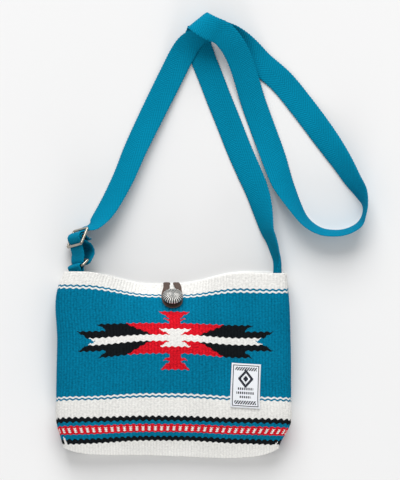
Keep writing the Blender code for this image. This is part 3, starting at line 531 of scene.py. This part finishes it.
# Route of the strap over the floor: X and Y from the left or the right anchor at the mouth, Z above the
# floor, then the azimuth and the tilt of its width.
FIRST_RUN = (
    (24.0, 46.8, 13.6, -15, 57), (35.0, 59.5, 11.6, -30, 44), (52.5, 91.5, 8.0, -24, 32),
    (65.2, 121.5, 6.4, -24, 24), (79.5, 151.5, 5.0, -27, 16),
)
REST_OF_STRAP = (
    (-115.2, 180.5, 3.9, -28, 8), (-105.2, 200.5, 3.9, -29, 2), (-96.5, 217.5, 5.8, -33, -10),
    (-89.5, 228.0, 9.5, -45, -28), (-80.5, 235.0, 13.4, -62, -45), (-71.5, 240.0, 14.2, -80, -52),
    (-61.5, 241.5, 12.6, -98, -48), (-50.5, 237.8, 9.0, -115, -36), (-41.0, 231.2, 6.2, -130, -22),
    (-30.0, 220.8, 3.6, -138, -8), (-18.6, 208.6, 1.7, -137, 0), (2.5, 190.0, 1.2, -136, 0),
    (21.9, 166.5, 1.3, -143, 0), (41.4, 140.5, 3.4, -145, -10), (61.5, 111.5, 8.2, -147, -33),
    (73.0, 92.5, 10.4, -149, -47), (82.0, 78.5, 12.0, -153, -60), (85.8, 66.5, 13.2, -165, -79),
    (84.5, 56.0, 13.3, -190, -83), (80.5, 47.5, 13.3, -215, -78), (71.5, 41.5, 13.3, -245, -77),
    (61.5, 38.7, 13.2, -265, -76), (51.5, 38.5, 13.1, -273, -75), (41.5, 40.2, 12.9, -287, -73),
    (31.5, 45.5, 12.6, -303, -70), (24.0, 52.5, 12.2, -315, -66), (15.5, 65.5, 11.3, -327, -56),
    (8.0, 79.0, 9.6, -333, -42), (2.5, 90.5, 7.6, -336, -30), (-6.5, 116.5, 3.4, -338, -10),
    (-16.5, 143.5, 1.6, -340, 0), (-26.5, 171.5, 3.0, -340, 0), (-34.5, 198.5, 8.0, -338, 0),
    (-40.5, 214.5, 13.0, -335, 2), (-47.5, 227.0, 18.5, -327, 2), (-57.0, 237.5, 23.5, -318, 1),
    (-67.5, 242.0, 27.4, -318, 0), (-75.0, 246.0, 27.2, -321, 0), (-80.3, 249.7, 22.6, -321, 0),
    (-81.7, 250.6, 14.4, -321, 0), (-80.8, 249.6, 7.4, -321, 0), (-79.2, 245.8, 6.4, -324, 0),
    (-81.5, 236.0, 3.2, -330, 0), (-79.5, 224.0, 1.7, -337, 0), (-75.4, 211.5, 1.3, -338, 0),
    (-69.3, 196.5, 1.3, -338, 0), (-60.0, 172.5, 1.2, -338, 0), (-51.5, 151.5, 1.2, -338, 0),
    (-39.7, 121.5, 1.5, -338, 3), (-30.5, 100.5, 3.0, -338, 9), (-22.3, 81.5, 5.6, -340, 21),
    (-17.1, 64.5, 8.4, -344, 35), (-14.1, 51.5, 10.4, -346, 48), (-11.5, 40.5, 12.0, -345, 59),
    (-7.8, 31.5, 13.0, -342, 64), (-4.1, 21.5, 14.2, -342, 68), (-0.6, 11.5, 15.0, -345, 74),
    (0.0, 2.0, 15.7, -350, 80), (-0.4, -6.5, 15.9, -350, 82), (-0.8, -15.5, 15.9, -350, 82),
)
CUP_START, CUP_FULL = 58, radians(125.0)   # where the strap cups as it goes into the side seam
LEAST_CUP = 0.02           # radians, of flat webbing
loop = WIRE + CLEARANCE + STRAP_THICKNESS / 2
under = -(WIRE + 2 * CLEARANCE + STRAP_THICKNESS / 2)
over = loop + STRAP_THICKNESS + CLEARANCE
bight = WIRE + RING_PLAY + STRAP_THICKNESS / 2
strap_route = [(slider_place(*spot), -BAR_LINE, 0.0) for spot in (
    (-1.6, -9.4), (-1.0, -6.6), (-1.9, -3.2), (-loop, 0.0), (-0.7 * loop, 0.7 * loop), (0.0, loop),
    (0.7 * loop, 0.7 * loop), (loop, 0.0), (2.9, -3.2), (2.7, -7.0), (3.4, -12.0), (8.0, -17.6, 0.6))]
strap_route += [(ring_place(bight, angle), -BAR_LINE, 0.0) for angle in (-95, -62, -25, 12, 52)]
strap_route += [(slider_place(*spot), -BAR_LINE, 0.0) for spot in (
    (15.0, -7.6, 1.0), (SLIDER_PITCH, under), (SLIDER_PITCH - 2.4, -2.0), (5.2, 0.9), (2.0, over - 0.1),
    (-2.0, over - 0.1), (-5.2, 0.9), (2.4 - SLIDER_PITCH, -2.0), (-SLIDER_PITCH, under - 0.7, -0.3),
    (-SLIDER_PITCH - 2.6, under - 1.2, -0.8))]
strap_route += [(LEFT_ANCHOR + spot[:3], across_at(*spot[3:]), 0.0) for spot in FIRST_RUN]
strap_route += [
    (RIGHT_ANCHOR + spot[:3], across_at(*spot[3:]), CUP_FULL * ease(CUP_START - 4, CUP_START, index))
    for index, spot in enumerate(REST_OF_STRAP)]

near_bar = ring_place(RING_REACH, RING_TURN)
tab_root = np.array((BODY_LEFT + 22.5, MOUTH_Y - 16.5, 16.8))
pull = tab_root - near_bar
pull = unit(pull - BAR_LINE * pull.dot(BAR_LINE))
side = unit(np.cross(pull, BAR_LINE))
layer = side * (STRAP_THICKNESS + 2 * CLEARANCE) / 2
waist = near_bar + (tab_root - near_bar) * 0.45
tab_route = [(tab_root + layer, BAR_LINE, 0.0), (waist + layer, BAR_LINE, 0.0)]
tab_route += [(near_bar + (pull * cos(radians(angle)) + side * sin(radians(angle))) * loop, BAR_LINE, 0.0)
              for angle in (55, 90, 135, 180, 225, 270, 305)]
tab_route += [(waist - layer, BAR_LINE, 0.0), (tab_root - layer, BAR_LINE, 0.0)]


def smooth_route(route, step):
    """Points at equal steps along a smooth curve through the route's places, widths and cups."""
    spots = np.array([[*place, *across, cup] for place, across, cup in route])
    spots = np.concatenate((2 * spots[:1] - spots[1:2], spots, 2 * spots[-1:] - spots[-2:-1]))
    chords = np.sqrt(np.linalg.norm(np.diff(spots[:, :3], axis=0), axis=1))
    fine = []
    for index in range(1, len(spots) - 2):
        p0, p1, p2, p3 = spots[index - 1:index + 3]
        k0, k1 = -chords[index - 1], 0.0
        k2 = chords[index]
        k3 = k2 + chords[index + 1]
        for k in np.linspace(0.0, k2, 25)[:-1]:
            a1 = ((k1 - k) * p0 + (k - k0) * p1) / (k1 - k0)
            a2 = ((k2 - k) * p1 + (k - k1) * p2) / (k2 - k1)
            a3 = ((k3 - k) * p2 + (k - k2) * p3) / (k3 - k2)
            b1 = ((k2 - k) * a1 + (k - k0) * a2) / (k2 - k0)
            b2 = ((k3 - k) * a2 + (k - k1) * a3) / (k3 - k1)
            fine.append(((k2 - k) * b1 + (k - k1) * b2) / (k2 - k1))
    fine = np.array(fine + [spots[-2]])
    arc = np.concatenate(([0.0], np.cumsum(np.linalg.norm(np.diff(fine[:, :3], axis=0), axis=1))))
    marks = np.linspace(0.0, arc[-1], int(arc[-1] / step) + 1)
    return np.stack([np.interp(marks, arc, fine[:, axis]) for axis in range(7)], axis=1), marks


def flat_band(name, route, width, thickness, step, steps_across, edge_round=8.0, tooth=0.0):
    """Webbing or lace along a route: a closed band with soft edges, and its own place along and across."""
    line, marks = smooth_route(route, step)
    swell = 1.0 + tooth / width * np.sin(2 * pi * marks / TOOTH_PITCH)[:, None]
    heading = directions(np.gradient(line[:, :3], axis=0))
    across = directions(line[:, 3:6] - heading * (line[:, 3:6] * heading).sum(1, keepdims=True))
    facing = np.cross(across, heading)
    cup = np.where(np.abs(line[:, 6]) > LEAST_CUP, line[:, 6], LEAST_CUP)[:, None]
    even = np.linspace(-0.25, 0.25, steps_across + 1)
    shares = np.sin(np.linspace(-pi / 2, pi / 2, steps_across + 1)) * 0.25 + even
    loops = []
    for sign in (1.0, -1.0):
        half = thickness / 2 * np.sqrt(np.maximum(1.0 - np.abs(2 * shares) ** edge_round, 0.02))
        shares_here, half = (shares, half) if sign > 0 else (shares[::-1], half[::-1])
        radius = width / cup + sign * half[None, :]
        turn = shares_here[None, :] * cup
        sideways = radius * np.sin(turn) * swell
        upward = radius * np.cos(turn) - width / cup * np.cos(cup / 4)
        loops.append(line[:, None, :3] + across[:, None, :] * sideways[:, :, None]
                     + facing[:, None, :] * upward[:, :, None])
    skin = np.concatenate(loops, axis=1)
    count, around = skin.shape[:2]
    last = (count - 1) * around
    ends = [list(reversed(range(around))), list(range(last, last + around))]
    piece = new_piece(name, skin, ring_faces(count, around, (0, 3, 2, 1)) + ends)
    for end in (-2, -1):
        piece.data.polygons[end].use_smooth = False
    sideways = np.tile(np.concatenate((shares, shares[::-1])) * width, count)
    along = np.repeat(marks, around)
    mark_points(piece, "band", np.stack((sideways, along, 0 * along), axis=-1))
    return piece


webbing, shader, place = finish_of("dyed_webbing", 0.88, gloss=0.03)
band = attribute_of(place, "band", "Vector")
sideways, along = (place.add("ShaderNodeSeparateXYZ", {}, {0: band}, output) for output in (0, 1))
from_middle = place.maths("ABSOLUTE", sideways)
chevrons = place.maths("SINE", (along + from_middle * 1.3) * (2 * pi / TOOTH_PITCH))
warps = place.maths("SINE", sideways * 3.6)
weave = 0.65 * chevrons + 0.35 * warps * chevrons
lint = place.add("ShaderNodeTexNoise", {}, {"Vector": place, "Scale": 900.0, "Detail": 3.0})
fade = place.add("ShaderNodeTexNoise", {}, {"Vector": place, "Scale": 30.0, "Detail": 2.0})
# darker in a thin line along both edges of the webbing
edge_falloff = place.maths("SMOOTH_MIN", 1.0, (12.6 - from_middle) * 0.8)
shade = 0.53 + 0.22 * weave + 0.30 * lint + 0.16 * fade + 0.10 * edge_falloff
tinted(place, STRAP_TEAL, shade, shader)
bumped(place, weave, shader, 0.00025, 0.7)
for name, node, route, sheet_length in (
        ("webbing_strap", "strap", strap_route, 1.203), ("webbing_tab", "ring_tab", tab_route, 0.055)):
    piece = flat_band(name, route, STRAP_WIDTH, STRAP_THICKNESS, BAND_STEP, BAND_STEPS_ACROSS,
                      tooth=WEBBING_TOOTH)
    piece.data.materials.append(webbing)
    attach(piece, "bag")
    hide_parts(node)
    "laid" if name == "webbing_strap" else "folded"

# Ring and slider. Bent wire with rounded corners. The ring is in the tab, and the strap runs through the
# slider and round the slider's own centre bar.
WIRE_LENGTH, WIRE_CORNER, CORNER_STEPS = 28.6, 1.6, 9
METAL = (0.360, 0.330, 0.280, 1.0)


def wire_loop(centre, along, half_length):
    """Points of a rectangle of wire, with round corners."""
    points = []
    for quarter, (sign_a, sign_w) in enumerate(((1, 1), (-1, 1), (-1, -1), (1, -1))):
        for angle in np.linspace(quarter * pi / 2, (quarter + 1) * pi / 2, CORNER_STEPS):
            a = sign_a * (half_length - WIRE_CORNER) + WIRE_CORNER * cos(angle)
            w = sign_w * (WIRE_LENGTH / 2 - WIRE_CORNER) + WIRE_CORNER * sin(angle)
            points.append(centre + along * a + BAR_LINE * w)
    return points


def bent_wire(name, points, closed):
    curve = bpy.data.curves.new(name, "CURVE")
    curve.dimensions = "3D"
    curve.bevel_depth = WIRE * MM
    curve.bevel_resolution = 5
    curve.use_fill_caps = not closed
    spline = curve.splines.new("POLY")
    spline.points.add(len(points) - 1)
    for target, point in zip(spline.points, points):
        target.co = (*(point * MM), 1.0)
    spline.use_cyclic_u = closed
    spline.use_smooth = True
    piece = bpy.data.objects.new(name, curve)
    bpy.context.scene.collection.objects.link(piece)
    return piece


plating, shader, place = finish_of("antique_plating", 0.30, 1.0, 0.5)
wear = place.add("ShaderNodeTexNoise", {}, {"Vector": place, "Scale": 420.0, "Detail": 4.0})
tinted(place, METAL, 0.70 + 0.60 * wear, shader)
(0.20 + 0.22 * wear).into(shader.inputs["Roughness"])
ring_along = unit(near_bar - ring_place(0.0, 0.0))
bar_half = BAR_LINE * (WIRE_LENGTH / 2 - WIRE - CLEARANCE)
ring_middle = ring_place(RING_REACH / 2, RING_TURN)
for name, node, body, path in (
        ("wire_ring", "square_ring", "ring", wire_loop(ring_middle, ring_along, RING_REACH / 2)),
        ("slider_wire", "slider_frame", "bag", wire_loop(SLIDER_CENTRE, SLIDER_ALONG, SLIDER_PITCH)),
        ("slider_middle", "slider_bar", "bag", [SLIDER_CENTRE - bar_half, SLIDER_CENTRE + bar_half])):
    piece = bent_wire(name, path, closed=len(path) > 2)
    piece.data.materials.append(plating)
    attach(piece, body)
    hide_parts(node)

# Concho. A fluted silver button with a shank, sewn through the front below the mouth. Painted shade
# darkens it between the ridges of its flutes, and it leans up the cloth.
CONCHO_RADIUS, CONCHO_DOME, CONCHO_STANDOFF = 10.0, 3.8, 4.8
CONCHO_FLUTES, FLUTE_STEPS = 24, 8
FLUTE_DEPTH, FLUTE_SHARPNESS, SCALLOP = 0.62, 1.3, 0.022
CONCHO_V = 22.0            # its seat, down from the mouth
CONCHO_LEAN = radians(12.0)
SHANK_RADIUS, SHANK_FOOT = 1.6, 1.9
BUMP_HEIGHT = 0.35         # of the cloth over its middle surface, as the solid has it
SLOPE_T, SLOPE_V = 0.006, 0.8    # steps that the cloth's slope is read over
SILVER = (0.800, 0.790, 0.760, 1.0)


def cloth_frame(v, t, front=True):
    """Point of the cloth, its outward direction and the direction down the cloth."""
    here = cloth_line(v, [t - SLOPE_T, t, t + SLOPE_T], front)
    below = cloth_line(min(v + SLOPE_V, FRONT_CLOTH), [t], front)[0]
    down = below - cloth_line(max(v - SLOPE_V, 0.0), [t], front)[0]
    normal = unit(np.cross(down, here[2] - here[0]))
    return here[1], normal if front else -normal, unit(down)


seat, seat_normal, seat_down = cloth_frame(CONCHO_V, 0.0)
seat_side = unit(np.cross(seat_normal, seat_down))
out = seat_normal * cos(CONCHO_LEAN) - seat_down * sin(CONCHO_LEAN)
concho_foot = seat + seat_normal * (BUMP_HEIGHT + CLEARANCE + SHANK_FOOT * sin(CONCHO_LEAN))
concho_steps = CONCHO_FLUTES * FLUTE_STEPS
angles = np.arange(concho_steps) * 2 * pi / concho_steps
ridge = np.abs(np.cos(angles * CONCHO_FLUTES / 2)) ** FLUTE_SHARPNESS * 2.0 - 1.0
profile = [(radius + 0 * ridge, height + 0 * ridge, 0.5 * ridge - 0.5) for radius, height in (
    (SHANK_FOOT, 0.0), (SHANK_FOOT, 0.8), (SHANK_RADIUS, 1.1), (SHANK_RADIUS, CONCHO_STANDOFF),
    (CONCHO_RADIUS * 0.94, CONCHO_STANDOFF), (CONCHO_RADIUS * 0.975, CONCHO_STANDOFF + 0.25))]
for share in (1.0, 0.985, 0.95, 0.89, 0.82, 0.74, 0.64, 0.54, 0.44, 0.34, 0.26, 0.19, 0.13, 0.07):
    rise = CONCHO_DOME * cos(asin(share) * 0.98) + FLUTE_DEPTH * ease(0.10, 0.75, share) * ridge
    reach = CONCHO_RADIUS * share * (1.0 + SCALLOP * ridge * ease(0.85, 1.0, share))
    profile.append((reach, CONCHO_STANDOFF + 1.0 + rise, ridge * ease(0.05, 0.30, share)))
lathe = np.array([np.stack((radius * np.cos(angles), radius * np.sin(angles), height), axis=-1)
                  for radius, height, flute in profile])
concho_points = (concho_foot + lathe[..., :1] * seat_side
                 + lathe[..., 1:2] * np.cross(out, seat_side) + lathe[..., 2:] * out)
concho_faces = ring_faces(len(profile), concho_steps, (3, 0, 1, 2))
concho_faces += [list(range(concho_steps)),
                 list(reversed(range((len(profile) - 1) * concho_steps, len(profile) * concho_steps)))]
fluted_button = new_piece("fluted_button", concho_points, concho_faces)
mark_points(fluted_button, "flute", np.concatenate([flute for radius, height, flute in profile]))
fluted_button.data.validate()
silver, shader, place = finish_of("antique_silver", 0.46, 1.0, 0.5)
crest = attribute_of(place, "flute", "Fac")
tarnish = place.add("ShaderNodeTexNoise", {}, {"Vector": place, "Scale": 500.0, "Detail": 4.0})
# painted shade: the grooves between the flutes are darkened, and the ridges keep the full silver colour
painted_flute_shade = place.maths("MINIMUM", 1.0, place.maths("MAXIMUM", 0.03, 0.36 + 0.80 * crest))
shade = painted_flute_shade * (0.78 + 0.44 * tarnish)
tinted(place, SILVER, shade, shader)
fluted_button.data.materials.append(silver)
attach(fluted_button, "button")
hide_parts("concho")

# Closure lace. One length of flat brown leather. Both ends are sewn inside the back wall, and its loop
# comes over the mouth's edge and goes round the button's shank.
LACE_WIDTH, LACE_THICKNESS = 6.2, 1.3
LACE_SPREAD, LACE_DROP = 7.0, 5.8
LACE_LIFT = BUMP_HEIGHT + CLEARANCE + LACE_THICKNESS / 2
LACE_STEP, LACE_STEPS_ACROSS, LACE_ROUNDING = 0.5, 12, 4.0
CLOTH_FULLNESS = 1.06      # the front's cloth, as a part of the bag's width
LEATHER = (0.095, 0.060, 0.047, 1.0)
half_front = (BODY_RIGHT - BODY_LEFT) / 2 * CLOTH_FULLNESS
inside = WALL + CLEARANCE * 3 + LINING_WALL + BUMP_HEIGHT + LACE_THICKNESS / 2
lip = cloth_line(0.0, [0.0])[0]
legs = []
for within_back, over_lip, down_front in (
        ((-5.5, -5.8), (-6.2, -6.6, -7.1), (-8.0, -8.3, -8.4)),
        ((2.5, 2.6), (2.7, 2.8, 2.9), (3.4, 4.8, 6.2))):
    leg = [(x, cloth_line(v, [0.0], front=False)[0][1], inside) for v, x in zip((17.0, 8.0), within_back)]
    leg += [(over_lip[0], lip[1] + 0.2, inside + 0.6),
            (over_lip[1], lip[1] + LACE_LIFT + 0.3, (inside + lip[2] - WALL / 2) / 2 + 0.3),
            (over_lip[2], lip[1] + 1.2, lip[2] + 1.4)]
    for v, x in zip((4.0, 10.0, 16.0), down_front):
        point, normal, down = cloth_frame(v, x / half_front)
        leg.append(point + normal * LACE_LIFT)
    legs.append(leg)
lace_side = seat_side if seat_side[0] > 0 else -seat_side
lace_route = [(np.array(spot), np.array((1.0, 0.0, 0.0)), 0.0) for spot in legs[0]]
for angle in (205, 240, 270, 300, 335):
    turn = radians(angle)
    spot = (seat + seat_normal * LACE_LIFT + lace_side * (LACE_SPREAD * cos(turn))
            - seat_down * (LACE_DROP * sin(turn)))
    lace_route.append((spot, seat_down * sin(turn) - lace_side * cos(turn), 0.0))
lace_route += [(np.array(spot), np.array((-1.0, 0.0, 0.0)), 0.0) for spot in reversed(legs[1])]
leather_lace = flat_band("leather_lace", lace_route, LACE_WIDTH, LACE_THICKNESS, LACE_STEP, LACE_STEPS_ACROSS,
                         LACE_ROUNDING)
leather, shader, place = finish_of("oiled_leather", 0.62, gloss=0.3)
band = attribute_of(place, "band", "Vector")
grain = place.add("ShaderNodeTexVoronoi", {}, {"Vector": place, "Scale": 1500.0}, "Distance")
scuffs = place.add("ShaderNodeTexNoise", {}, {"Vector": place, "Scale": 240.0, "Detail": 5.0})
from_middle = place.maths("ABSOLUTE", place.add("ShaderNodeSeparateXYZ", {}, {0: band}, 0))
rub = place.maths("POWER", from_middle * (2.0 / LACE_WIDTH), 6.0)
shade = 0.70 + 0.30 * scuffs + 0.20 * grain + 0.55 * rub
tinted(place, LEATHER, shade, shader)
bumped(place, grain + scuffs, shader, 0.00012, 0.5)
leather_lace.data.materials.append(leather)
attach(leather_lace, "bag")
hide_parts("closure_lace")

# Label. A woven patch with a dark line round it, and a plain device of bars and a stepped diamond. It
# lies flat on the front, sewn down all round.
LABEL_WIDTH, LABEL_HEIGHT, LABEL_THICKNESS = 28.5, 45.0, 0.6
LABEL_COLUMNS, LABEL_ROWS = 30, 46         # of points
LABEL_V, LABEL_X, LABEL_TURN = 116.8, 69.5, radians(-3.0)
LABEL_CLOTH = (0.860, 0.880, 0.920, 1.0)
LABEL_INK = (0.020, 0.022, 0.035, 1.0)
label_lift = BUMP_HEIGHT + CLEARANCE + LABEL_THICKNESS / 2


def label_place(x, y, lift):
    """A place of the label, from its own middle, at a height over the cloth."""
    across = x * cos(LABEL_TURN) - y * sin(LABEL_TURN)
    up = x * sin(LABEL_TURN) + y * cos(LABEL_TURN)
    point, normal, down = cloth_frame(LABEL_V - up, (LABEL_X + across) / half_front)
    return point + normal * lift


label_marks = [(x, y, 0.0) for y in np.linspace(-LABEL_HEIGHT / 2, LABEL_HEIGHT / 2, LABEL_ROWS)
               for x in np.linspace(-LABEL_WIDTH / 2, LABEL_WIDTH / 2, LABEL_COLUMNS)]
first_corners = [row * LABEL_COLUMNS + column
                 for row in range(LABEL_ROWS - 1) for column in range(LABEL_COLUMNS - 1)]
woven_patch = new_piece(
    "woven_patch", [label_place(x, y, label_lift) for x, y, z in label_marks],
    [(spot, spot + 1, spot + LABEL_COLUMNS + 1, spot + LABEL_COLUMNS) for spot in first_corners])
mark_points(woven_patch, "patch", label_marks)
damask, shader, place = finish_of("label_damask", 0.85, gloss=0.15)
patch = attribute_of(place, "patch", "Vector")
rightward, upward = (place.add("ShaderNodeSeparateXYZ", {}, {0: patch}, output) for output in (0, 1))
aside = place.maths("ABSOLUTE", rightward)
away = place.maths("ABSOLUTE", upward)
to_edge = place.maths("MINIMUM", LABEL_WIDTH / 2 - aside, LABEL_HEIGHT / 2 - away)


def within(value, low, high):
    """1 where a value lies between two limits."""
    return place.maths("LESS_THAN", low, value) * place.maths("LESS_THAN", value, high)


hatch = place.maths("LESS_THAN", place.maths("SINE", (rightward - upward * 0.7) * 2.7), 0.35)
ticks = place.maths("LESS_THAN", place.maths("SINE", rightward * 3.1), 0.3)
stairs = place.maths("CEIL", place.maths("ABSOLUTE", upward - 7.0) * 0.8) + aside
drawing = [within(away, 15.2, 18.9) * within(aside, -1.0, 10.4) * hatch,
           within(stairs, -1.0, 8.2) - within(stairs, -1.0, 5.2) + within(stairs, -1.0, 3.2)]
drawing += [within(upward, low, high) * within(aside, -1.0, reach) * ticks
            for low, high, reach in ((-4.4, -2.0, 7.6), (-8.6, -6.2, 8.6), (-12.6, -10.4, 5.4))]
ink = within(to_edge, 1.6, 2.4)
for drawn in drawing:
    ink = place.maths("MAXIMUM", ink, drawn)
dyed = place.add("ShaderNodeMix", {"data_type": "RGBA"}, {0: ink, 6: LABEL_CLOTH, 7: LABEL_INK}, 2)
threads = place.maths("SINE", upward * 12.0)
dyed.into(shader.inputs["Base Color"])
bumped(place, threads, shader, 0.00008, 0.5)
woven_patch.data.materials.append(damask)
thicken(woven_patch, LABEL_THICKNESS)
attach(woven_patch, "bag")
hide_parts("label")

# Sewing. Lock stitches of spun thread, one after another: round the label, across the webbing where it is
# sewn back on itself and to the bag, and round the top of the lining.
STITCH_PITCH, STITCH_LENGTH, THREAD = 2.4, 1.9, 0.34
LABEL_MARGIN, WEBBING_MARGIN = 0.9, 1.5    # from the piece's edge to its stitches
ON_TOP = 0.1               # of a stitch over the webbing
lock_stitches = bpy.data.node_groups.new("lock_stitches", "GeometryNodeTree")
sockets = {}
for name, kind in (("Seam", "Geometry"), ("Pitch", "Float"), ("Length", "Float"), ("Thread", "Float"),
                   ("Finish", "Material")):
    made = lock_stitches.interface.new_socket(name, in_out="INPUT", socket_type="NodeSocket" + kind)
    sockets[name] = made.identifier
lock_stitches.interface.new_socket("Stitches", in_out="OUTPUT", socket_type="NodeSocketGeometry")
given = lock_stitches.nodes.new("NodeGroupInput").outputs
seam = Wire(given["Seam"])
seam_line = seam.add("GeometryNodeMeshToCurve", {}, {"Mesh": seam}, "Curve")
holes = seam.add("GeometryNodeResampleCurve", {"mode": "LENGTH"},
                 {"Curve": seam_line, "Length": Wire(given["Pitch"])}, "Curve")
tangent = seam.add("GeometryNodeInputTangent", {}, {}, "Tangent")
stitch_turn = seam.add("FunctionNodeAlignRotationToVector", {"axis": "X"}, {"Vector": tangent}, "Rotation")
stitch_size = seam.add("ShaderNodeCombineXYZ", {}, {
    "X": Wire(given["Length"]), "Y": Wire(given["Thread"]), "Z": Wire(given["Thread"])}, "Vector")
one_stitch = seam.add("GeometryNodeMeshUVSphere", {}, {"Segments": 8, "Rings": 5, "Radius": 0.5}, "Mesh")
stitched = seam.add("GeometryNodeInstanceOnPoints", {}, {
    "Points": holes, "Instance": one_stitch, "Rotation": stitch_turn, "Scale": stitch_size}, "Instances")
for kind, values in (("SetShadeSmooth", {}), ("RealizeInstances", {}),
                     ("SetMaterial", {"Material": Wire(given["Finish"])})):
    stitched = seam.add("GeometryNode" + kind, {}, {"Geometry": stitched, **values}, "Geometry")
stitched.into(lock_stitches.nodes.new("NodeGroupOutput").inputs["Stitches"])

seam_x, seam_y = LABEL_WIDTH / 2 - LABEL_MARGIN, LABEL_HEIGHT / 2 - LABEL_MARGIN
label_corners = [(seam_x * x, seam_y * y) for x, y in ((-1, -1), (1, -1), (1, 1), (-1, 1), (-1, -1))]
label_seam = [label_place(x0 + (x1 - x0) * share, y0 + (y1 - y0) * share, label_lift + LABEL_THICKNESS / 2)
              for (x0, y0), (x1, y1) in zip(label_corners, label_corners[1:])
              for share in np.arange(0.0, 1.0, 0.05)]
webbing_rows = np.linspace(-STRAP_WIDTH / 2 + WEBBING_MARGIN, STRAP_WIDTH / 2 - WEBBING_MARGIN, 12)
tab_out = layer + side * (STRAP_THICKNESS / 2 + ON_TOP)
tab_middle = tab_root * 0.6 + waist * 0.4
tab_seams = [[tab_middle + tab_out * face + BAR_LINE * w for w in webbing_rows] for face in (1, -1)]
tail_seam = [slider_place(-1.0 - STRAP_THICKNESS / 2 - ON_TOP, -7.0, w) for w in webbing_rows]
lining_top = (lining_rings - ring_normals(lining_rings) * (LINING_WALL / 2 + 0.05))[1]
for name, colour, slot, seams in (
        ("label_stitches", (0.78, 0.79, 0.80, 1.0), "label_cloth", [label_seam + label_seam[:1]]),
        ("webbing_stitches", (0.002, 0.20, 0.34, 1.0), "webbing", [*tab_seams, tail_seam]),
        ("lining_stitches", (0.62, 0.59, 0.52, 1.0), "lining_cotton", [[*lining_top, lining_top[0]]])):
    points, edges = [], []
    for path in seams:
        edges += [(len(points) + spot, len(points) + spot + 1) for spot in range(len(path) - 1)]
        points += path
    stitches = new_piece(name, points, [], edges)
    thread, shader, place = finish_of(name + "_thread", 0.8)
    twist = place.add("ShaderNodeTexNoise", {}, {"Vector": place, "Scale": 2600.0, "Detail": 2.0})
    tinted(place, colour, 0.75 + 0.50 * twist, shader)
    sewing = stitches.modifiers.new("sewing", "NODES")
    sewing.node_group = lock_stitches
    for socket, value in (("Pitch", STITCH_PITCH * MM), ("Length", STITCH_LENGTH * MM),
                          ("Thread", THREAD * MM), ("Finish", thread)):
        sewing[sockets[socket]] = value
    sewn = bpy.data.meshes.new_from_object(stitches.evaluated_get(bpy.context.evaluated_depsgraph_get()))
    stitches.modifiers.clear()
    stitches.data = sewn
    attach(stitches, "bag")

# Camera, looking straight down, and a plain studio.
camera = bpy.data.objects.new("camera", bpy.data.cameras.new("camera"))
camera.data.lens = 450.0
camera.data.sensor_width = 36.0
camera.data.clip_end = 20.0
camera.location = (0.0265, 0.125, 6.0)
bpy.context.scene.collection.objects.link(camera)
bpy.context.scene.camera = camera

bpy.ops.mesh.primitive_plane_add(size=6.0, location=(0.0, 0.1, -0.0002))
floor = bpy.context.object
floor.name = "floor"
paper, shader, place = finish_of("pale_paper", 0.9)
shader.inputs["Base Color"].default_value = (0.862, 0.862, 0.862, 1.0)
floor.data.materials.append(paper)

AIM = Vector((0.0, 0.1, 0.0))
for name, energy, width, spot in (
        ("key", 318.0, 4.0, (-0.2, 4.6, 3.4)), ("fill", 26.0, 1.2, (0.2, -2.4, 0.6))):
    lamp = bpy.data.lights.new(name, "AREA")
    lamp.energy = energy
    lamp.size = width
    lamp_object = bpy.data.objects.new(name, lamp)
    lamp_object.location = spot
    lamp_object.rotation_euler = (AIM - Vector(spot)).to_track_quat("-Z", "Y").to_euler()
    bpy.context.scene.collection.objects.link(lamp_object)
sky = bpy.data.worlds.new("studio")
sky.use_nodes = True
glow = sky.node_tree.nodes["Background"].inputs
glow["Color"].default_value = (1.0, 1.0, 1.0, 1.0)
glow["Strength"].default_value = 0.45
bpy.context.scene.world = sky
bpy.context.scene.view_settings.view_transform = "Standard"
